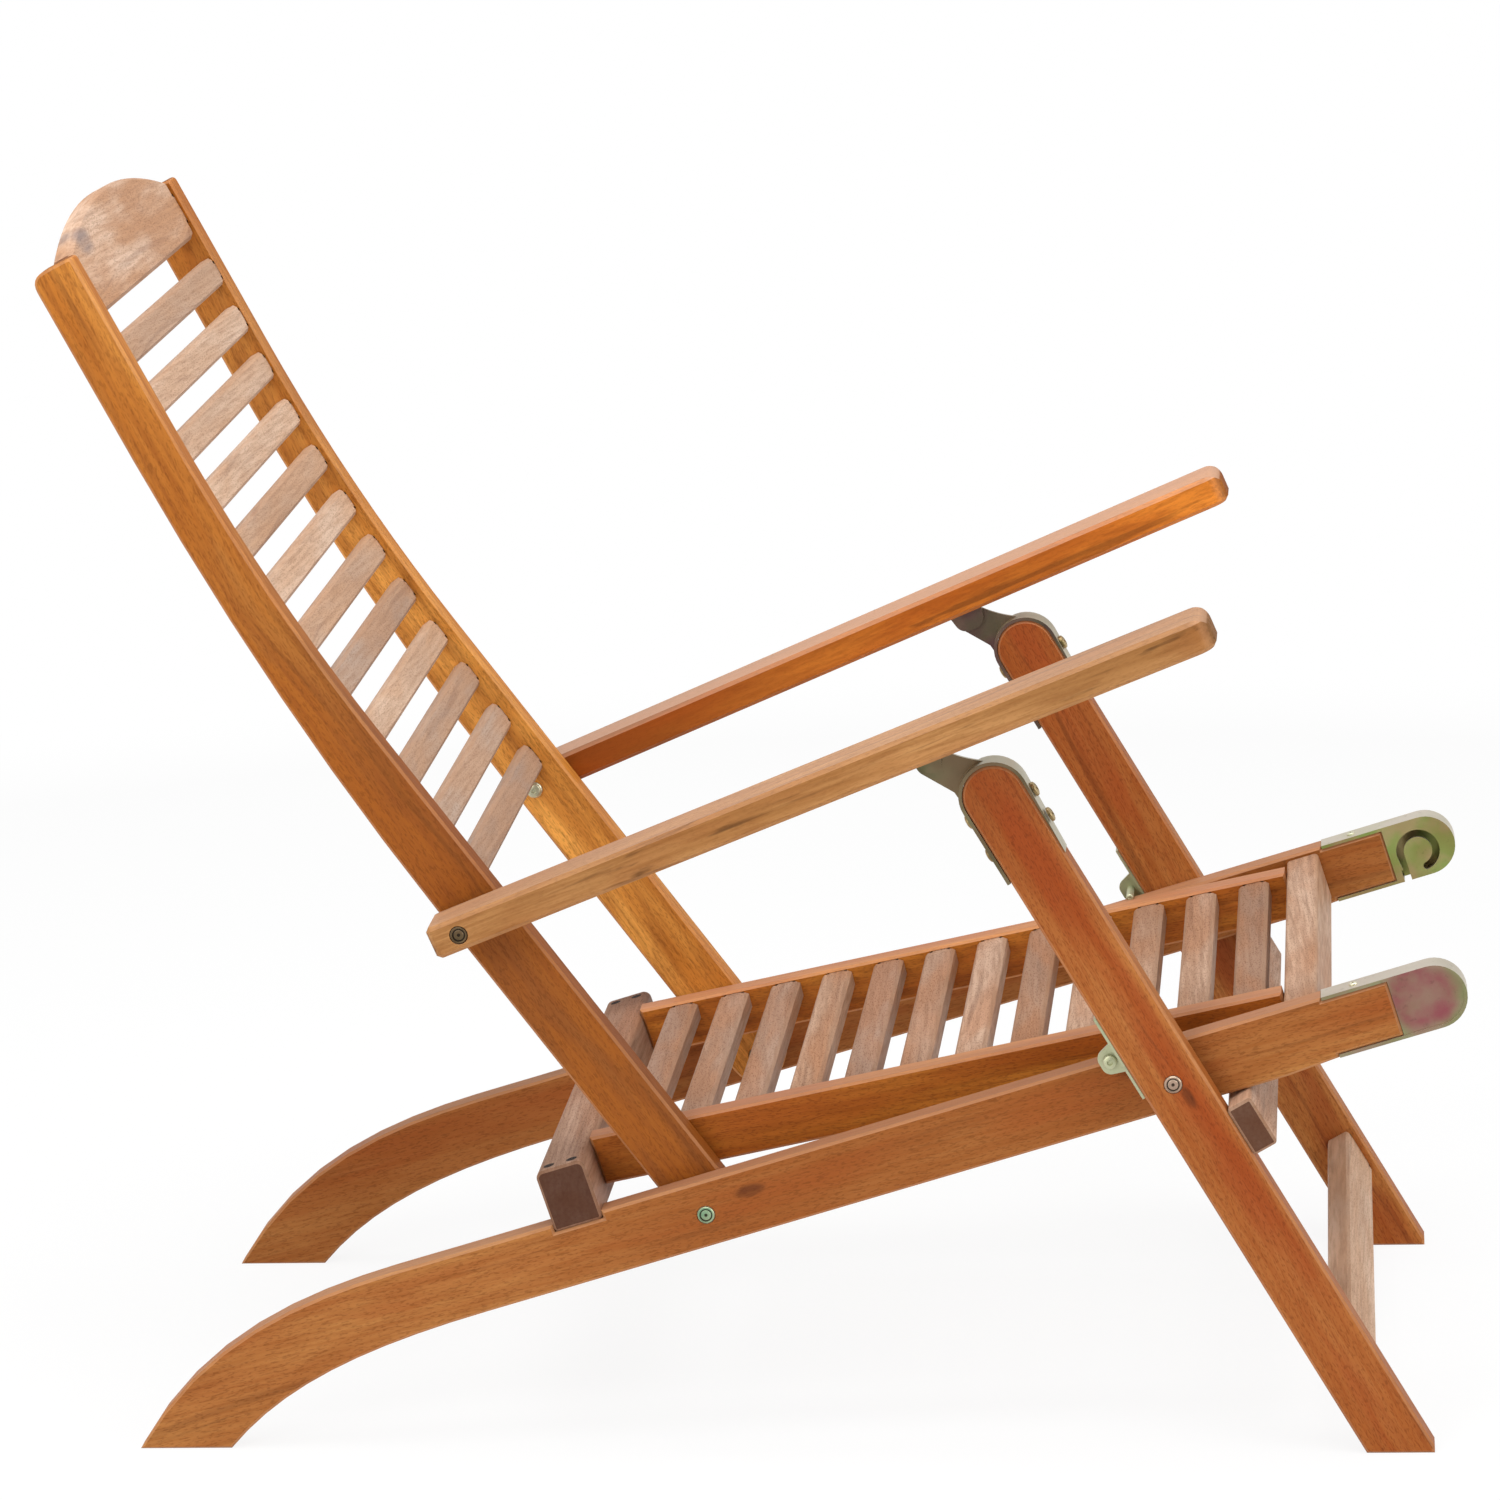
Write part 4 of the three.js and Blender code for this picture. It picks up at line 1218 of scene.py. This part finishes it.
@dataclass
class Legs(Assembly):
    """Front legs, their cross members, brackets and stop lugs.

    A leg's middle lies so far across the chair and its edges half its width from its line, with
    the bracket's and the lug's steel upon them. Screws are placed along the leg from its pivot.
    """

    body: str = "legs"
    middle: float = 246 * MM
    half: float = 23 * MM
    bracket: float = 2.8 * MM
    lug: float = 2.3 * MM
    knot: Knot = Knot(LEG_LINE.at(-14 * MM, -5 * MM, -258 * MM), 5 * MM)
    heart: tuple[float, float] = (-5 * MM, 16 * MM)
    darkening: tuple[float, float] = (-100 * MM, 440 * MM)
    front_screws: tuple[float, ...] = (240 * MM, 218 * MM)
    rear_screws: tuple[float, ...] = (243 * MM, 214 * MM)
    lug_screws: tuple[float, ...] = (8 * MM, 62 * MM)
    stud_above: float = 27.8 * MM
    stud_behind: float = 32.3 * MM
    stud_outer: float = 249 * MM
    stud_inner: float = 220 * MM

    def build(self) -> None:
        """Dress the legs and set their screws."""
        cut = Cut(
            LEG_LINE,
            Face.SIDEWAYS,
            (70 * MM, 90 * MM),
            knots=(self.knot,),
            heart=self.heart,
            darkening=self.darkening,
        )
        wood = LEG_WOOD.material("leg_wood_long", cut)
        for side in SIDES:
            self.smooth(side + "_front_leg", "leg_wood", wood, self.body)
        cut = Cut(LEG_LINE, Face.CROSSWISE, (50 * MM, 130 * MM))
        self.dress(["leg_stretcher"], SLAT_WOOD.material("slat_wood_stretcher", cut))
        self.dress(["stop_beam"], SEAT_WOOD.material("slat_wood_stop", cut))
        metals = {
            "right": BRACKET_ZINC.material("zinc_bracket_right"),
            "left": FAR_BRACKET_ZINC.material("zinc_bracket_left"),
        }
        gold = GOLD_ZINC.material("zinc_bracket_screw")
        bright = LUG_ZINC.material("zinc_lug")
        for side, sign in SIDES.items():
            self.smooth(side + "_leg_bracket", "zinc", metals[side], self.body)
            self.dress([side + "_stop_lug"], bright)
            self.set_bracket_screws(side, sign, gold)
            self.set_lug_screws(side, sign, bright)

    def set_bracket_screws(self, side: str, sign: int, material: bpy.types.Material) -> None:
        """Put the domed screws in a leg's bracket.

        Args:
            side: The side's name.
            sign: 1 on the left and -1 on the right.
            material: The screws' material.
        """
        y = sign * self.middle
        front = -self.half - self.bracket
        rear = self.half + self.bracket
        rows = [("front", front, -1, self.front_screws), ("rear", rear, 1, self.rear_screws)]
        for row, v, way, places in rows:
            for i, s in enumerate(places):
                bm = PLATE_SCREW.mesh(LEG_LINE.at(s, v, y), LEG_LINE.left * way)
                name = f"{side}_bracket_{row}_screw_{i + 1}"
                self.piece(name, bm, material, "zinc", self.body)

    def set_lug_screws(self, side: str, sign: int, material: bpy.types.Material) -> None:
        """Put the screws in a leg's stop lug, and the head and cap on its stud.

        Args:
            side: The side's name.
            sign: 1 on the left and -1 on the right.
            material: The screws' material.
        """
        y = sign * self.middle
        for i, s in enumerate(self.lug_screws):
            seat = LEG_LINE.at(s, self.half + self.lug, y)
            bm = SMALL_SCREW.mesh(seat, LEG_LINE.left)
            self.piece(f"{side}_lug_screw_{i + 1}", bm, material, "zinc", self.body)
        ends = (("head", STUD_HEAD, self.stud_outer, 1), ("cap", STUD_CAP, self.stud_inner, -1))
        for name, head, out, way in ends:
            seat = RAIL_LINE.meet(self.stud_above, LEG_LINE, self.stud_behind, sign * out)
            bm = head.mesh(seat, Vector((0, sign * way, 0)))
            self.piece(f"{side}_stud_{name}", bm, material, "zinc", self.body)


@dataclass
class Arms(Assembly):
    """Arms and the hinge plates under them, whose screws are placed from the arm's pivot."""

    plate_below: float = -12 * MM
    plate_middle: float = 246 * MM
    screw_places: tuple[float, ...] = (346 * MM, 398 * MM)
    pith: tuple[float, float] = (240 * MM, 70 * MM)
    darkening: tuple[float, float] = (440 * MM, 60 * MM)

    def build(self) -> None:
        """Dress the arms and set the screws of their hinge plates."""
        near = Cut(ARM_LINE, Face.UP, self.pith)
        far = Cut(ARM_LINE, Face.UP, self.pith, darkening=self.darkening)
        woods = {
            "right": ARM_WOOD.material("arm_wood_right", near),
            "left": FAR_ARM_WOOD.material("arm_wood_left", far),
        }
        metals = {
            "right": BRACKET_ZINC.material("zinc_hinge_right"),
            "left": FAR_BRACKET_ZINC.material("zinc_hinge_left"),
        }
        for side, sign in SIDES.items():
            self.smooth(side + "_arm", "arm_wood", woods[side], side + "_arm")
            self.dress([side + "_arm_hinge"], metals[side])
            for i, s in enumerate(self.screw_places):
                seat = ARM_LINE.at(s, self.plate_below, sign * self.plate_middle)
                bm = SMALL_SCREW.mesh(seat, -ARM_LINE.left)
                self.piece(f"{side}_plate_screw_{i + 1}", bm, metals[side], "zinc", side + "_arm")


@dataclass
class Pivots(Assembly):
    """The headed sleeves and screws that the chair folds on."""

    def build(self) -> None:
        """Dress the pivot fittings and cap their heads."""
        bright = ZINC.material("zinc_pivot_screw")
        sleeves = (
            ("leg", "base", WARM_ZINC, LEG_PIVOT),
            ("back", "base", GREEN_ZINC, BACK_PIVOT),
            ("arm", "back", BRONZE_ZINC, ARM_PIVOT),
        )
        for pivot, body, finish, middle in sleeves:
            # Each sleeve and its cap get painted shade in the hole and groove.
            recess_shade = RecessShade(middle, SOCKET_SHADE_BANDS)
            metal = finish.material(f"zinc_{pivot}_pivot", recess_shade)
            for side, sign in SIDES.items():
                name = f"{side}_{pivot}_pivot_"
                self.dress([name + "sleeve"], metal)
                self.cap(name + "sleeve", SOCKET_CAP, sign, metal, body)
                self.dress([name + "screw"], bright)
                self.cap(name + "screw", SCREW_CAP, -sign, bright, body)

    def cap(
        self,
        name: str,
        head: ScrewHead | TurnedHead,
        out: int,
        material: bpy.types.Material,
        body: str,
    ) -> None:
        """Set a cap on the head of a pivot fitting.

        Args:
            name: The fitting's CAD node.
            head: The cap's shape.
            out: 1 where the head faces left and -1 where it faces right.
            material: The cap's material.
            body: The body it rides on.
        """
        low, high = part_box(name)
        seat = (low + high) / 2
        seat.y = high.y if out > 0 else low.y
        bm = head.mesh(seat, Vector((0, out, 0)))
        self.piece(name + "_cap", bm, material, "zinc", body)


@dataclass(frozen=True)
class SoftLamp:
    """A broad lamp: where it hangs, what it lights, and how strongly."""

    name: str
    place: tuple[float, float, float]
    aim: tuple[float, float, float]
    width: float
    power: float

    def hang(self) -> None:
        """Put the lamp in the scene."""
        lamp = bpy.data.lights.new(self.name, "AREA")
        lamp.shape = "DISK"
        lamp.size = self.width
        lamp.energy = self.power
        holder = bpy.data.objects.new(self.name, lamp)
        holder.location = self.place
        way = Vector(self.aim) - Vector(self.place)
        holder.rotation_euler = way.to_track_quat("-Z", "Y").to_euler()
        bpy.context.scene.collection.objects.link(holder)


@dataclass
class Studio:
    """White floor, white surroundings, soft lamps and the camera, in metres and degrees."""

    camera_place: tuple[float, float, float] = (0.43342, -4.54533, 1.56819)
    camera_turn: tuple[float, float, float] = (76.6103, 2.2222, 5.2389)
    lens: float = 146.4
    sensor: float = 36
    sight: float = 100
    ambient: float = 0.48
    floor_half: float = 30
    floor_color: int = 0xF8F8F8
    floor_glow: float = 0.88
    floor_fade: tuple[float, float] = (0.9, 2.4)
    card_place: tuple[float, float, float] = (0.4, -5.5, 1.2)
    card_half: float = 2.2
    card_color: int = 0x3C3834
    lamps: tuple[SoftLamp, ...] = (
        SoftLamp("top_lamp", (-0.2, -0.5, 3.6), (0, 0, 0.4), 2.6, 94),
        SoftLamp("front_lamp", (-2.2, -3.4, 2.2), (0, 0, 0.4), 2.0, 72),
        SoftLamp("side_lamp", (3.2, -1.6, 1.8), (0, 0, 0.4), 2.0, 44),
    )

    def build(self) -> None:
        """Set the studio up."""
        bpy.context.scene.view_settings.view_transform = "Standard"
        self.lay_floor()
        self.stand_card()
        self.light()
        self.place_camera()

    def lay_floor(self) -> None:
        """Lay the pale floor, which the camera sees as white but for the chair's shadow."""
        g = Graph.named("white_floor")
        place = g.node("ShaderNodeTexCoord", {}, {}).outputs["Object"]
        fade = g.measure("LENGTH", place).smooth(*self.floor_fade)
        seen = self.seen_directly(g) * fade.larger(self.floor_glow)
        matt = g.node("ShaderNodeBsdfDiffuse", {}, {"Color": paint(self.floor_color)})
        glow = g.node("ShaderNodeEmission", {}, {"Strength": 1.0})
        blend = g.node(
            "ShaderNodeMixShader", {}, {0: seen, 1: matt.outputs[0], 2: glow.outputs[0]}
        )
        half = self.floor_half
        corners = [(-half, -half, 0), (half, -half, 0), (half, half, 0), (-half, half, 0)]
        self.sheet("floor", corners, g.finish(blend))

    def stand_card(self) -> None:
        """Stand a dark card behind the camera, which only shows as a reflection in the metal."""
        g = Graph.named("dark_card")
        matt = g.node("ShaderNodeBsdfDiffuse", {}, {"Color": paint(self.card_color)})
        half = self.card_half
        corners = [(-half, 0, -half), (half, 0, -half), (half, 0, half), (-half, 0, half)]
        card = self.sheet("dark_card", corners, g.finish(matt))
        card.location = self.card_place
        card.visible_camera = False
        card.visible_diffuse = False
        card.visible_shadow = False

    @staticmethod
    def sheet(
        name: str, corners: list[tuple[float, float, float]], material: bpy.types.Material
    ) -> bpy.types.Object:
        """Add a flat sheet to the studio.

        Args:
            name: The sheet's name.
            corners: Its four corners in order.
            material: Its material.

        Returns:
            The new object.
        """
        mesh = bpy.data.meshes.new(name)
        mesh.from_pydata(corners, [], [(0, 1, 2, 3)])
        mesh.materials.append(material)
        sheet = bpy.data.objects.new(name, mesh)
        bpy.context.scene.collection.objects.link(sheet)
        return sheet

    @staticmethod
    def seen_directly(g: Graph) -> Field:
        """Tell the rays that show the surroundings from those that light the chair.

        Args:
            g: The graph of the floor or the world.

        Returns:
            1 for rays from the camera, from gloss and through glass.
        """
        rays = g.node("ShaderNodeLightPath", {}, {}).outputs
        kinds = ("Is Camera Ray", "Is Glossy Ray", "Is Transmission Ray")
        return reduce(Field.larger, [Field(g, rays[kind]) for kind in kinds])

    def light(self) -> None:
        """Light the scene softly, with white surroundings."""
        world = bpy.data.worlds.new("white_studio")
        bpy.context.scene.world = world
        g = Graph(world)
        seen = self.seen_directly(g)
        strength = seen * (1 - self.ambient) + self.ambient
        background = g.node("ShaderNodeBackground", {}, {"Strength": strength})
        g.node("ShaderNodeOutputWorld", {}, {"Surface": background.outputs[0]})
        for lamp in self.lamps:
            lamp.hang()

    def place_camera(self) -> None:
        """Put the camera where the photograph was taken from."""
        lens = bpy.data.cameras.new("camera")
        lens.lens = self.lens
        lens.sensor_width = self.sensor
        lens.clip_end = self.sight
        camera = bpy.data.objects.new("camera", lens)
        camera.location = self.camera_place
        camera.rotation_euler = [math.radians(turn) for turn in self.camera_turn]
        bpy.context.scene.collection.objects.link(camera)
        bpy.context.scene.camera = camera


def main() -> None:
    """Build every sub-assembly and the studio."""
    logging.basicConfig(level=logging.INFO, format="%(message)s")
    for part in (Base(), Back(), Legs(), Arms(), Pivots(), Studio()):
        part.build()
        log.info("%s done", type(part).__name__)


if __name__ == "__main__":
    main()
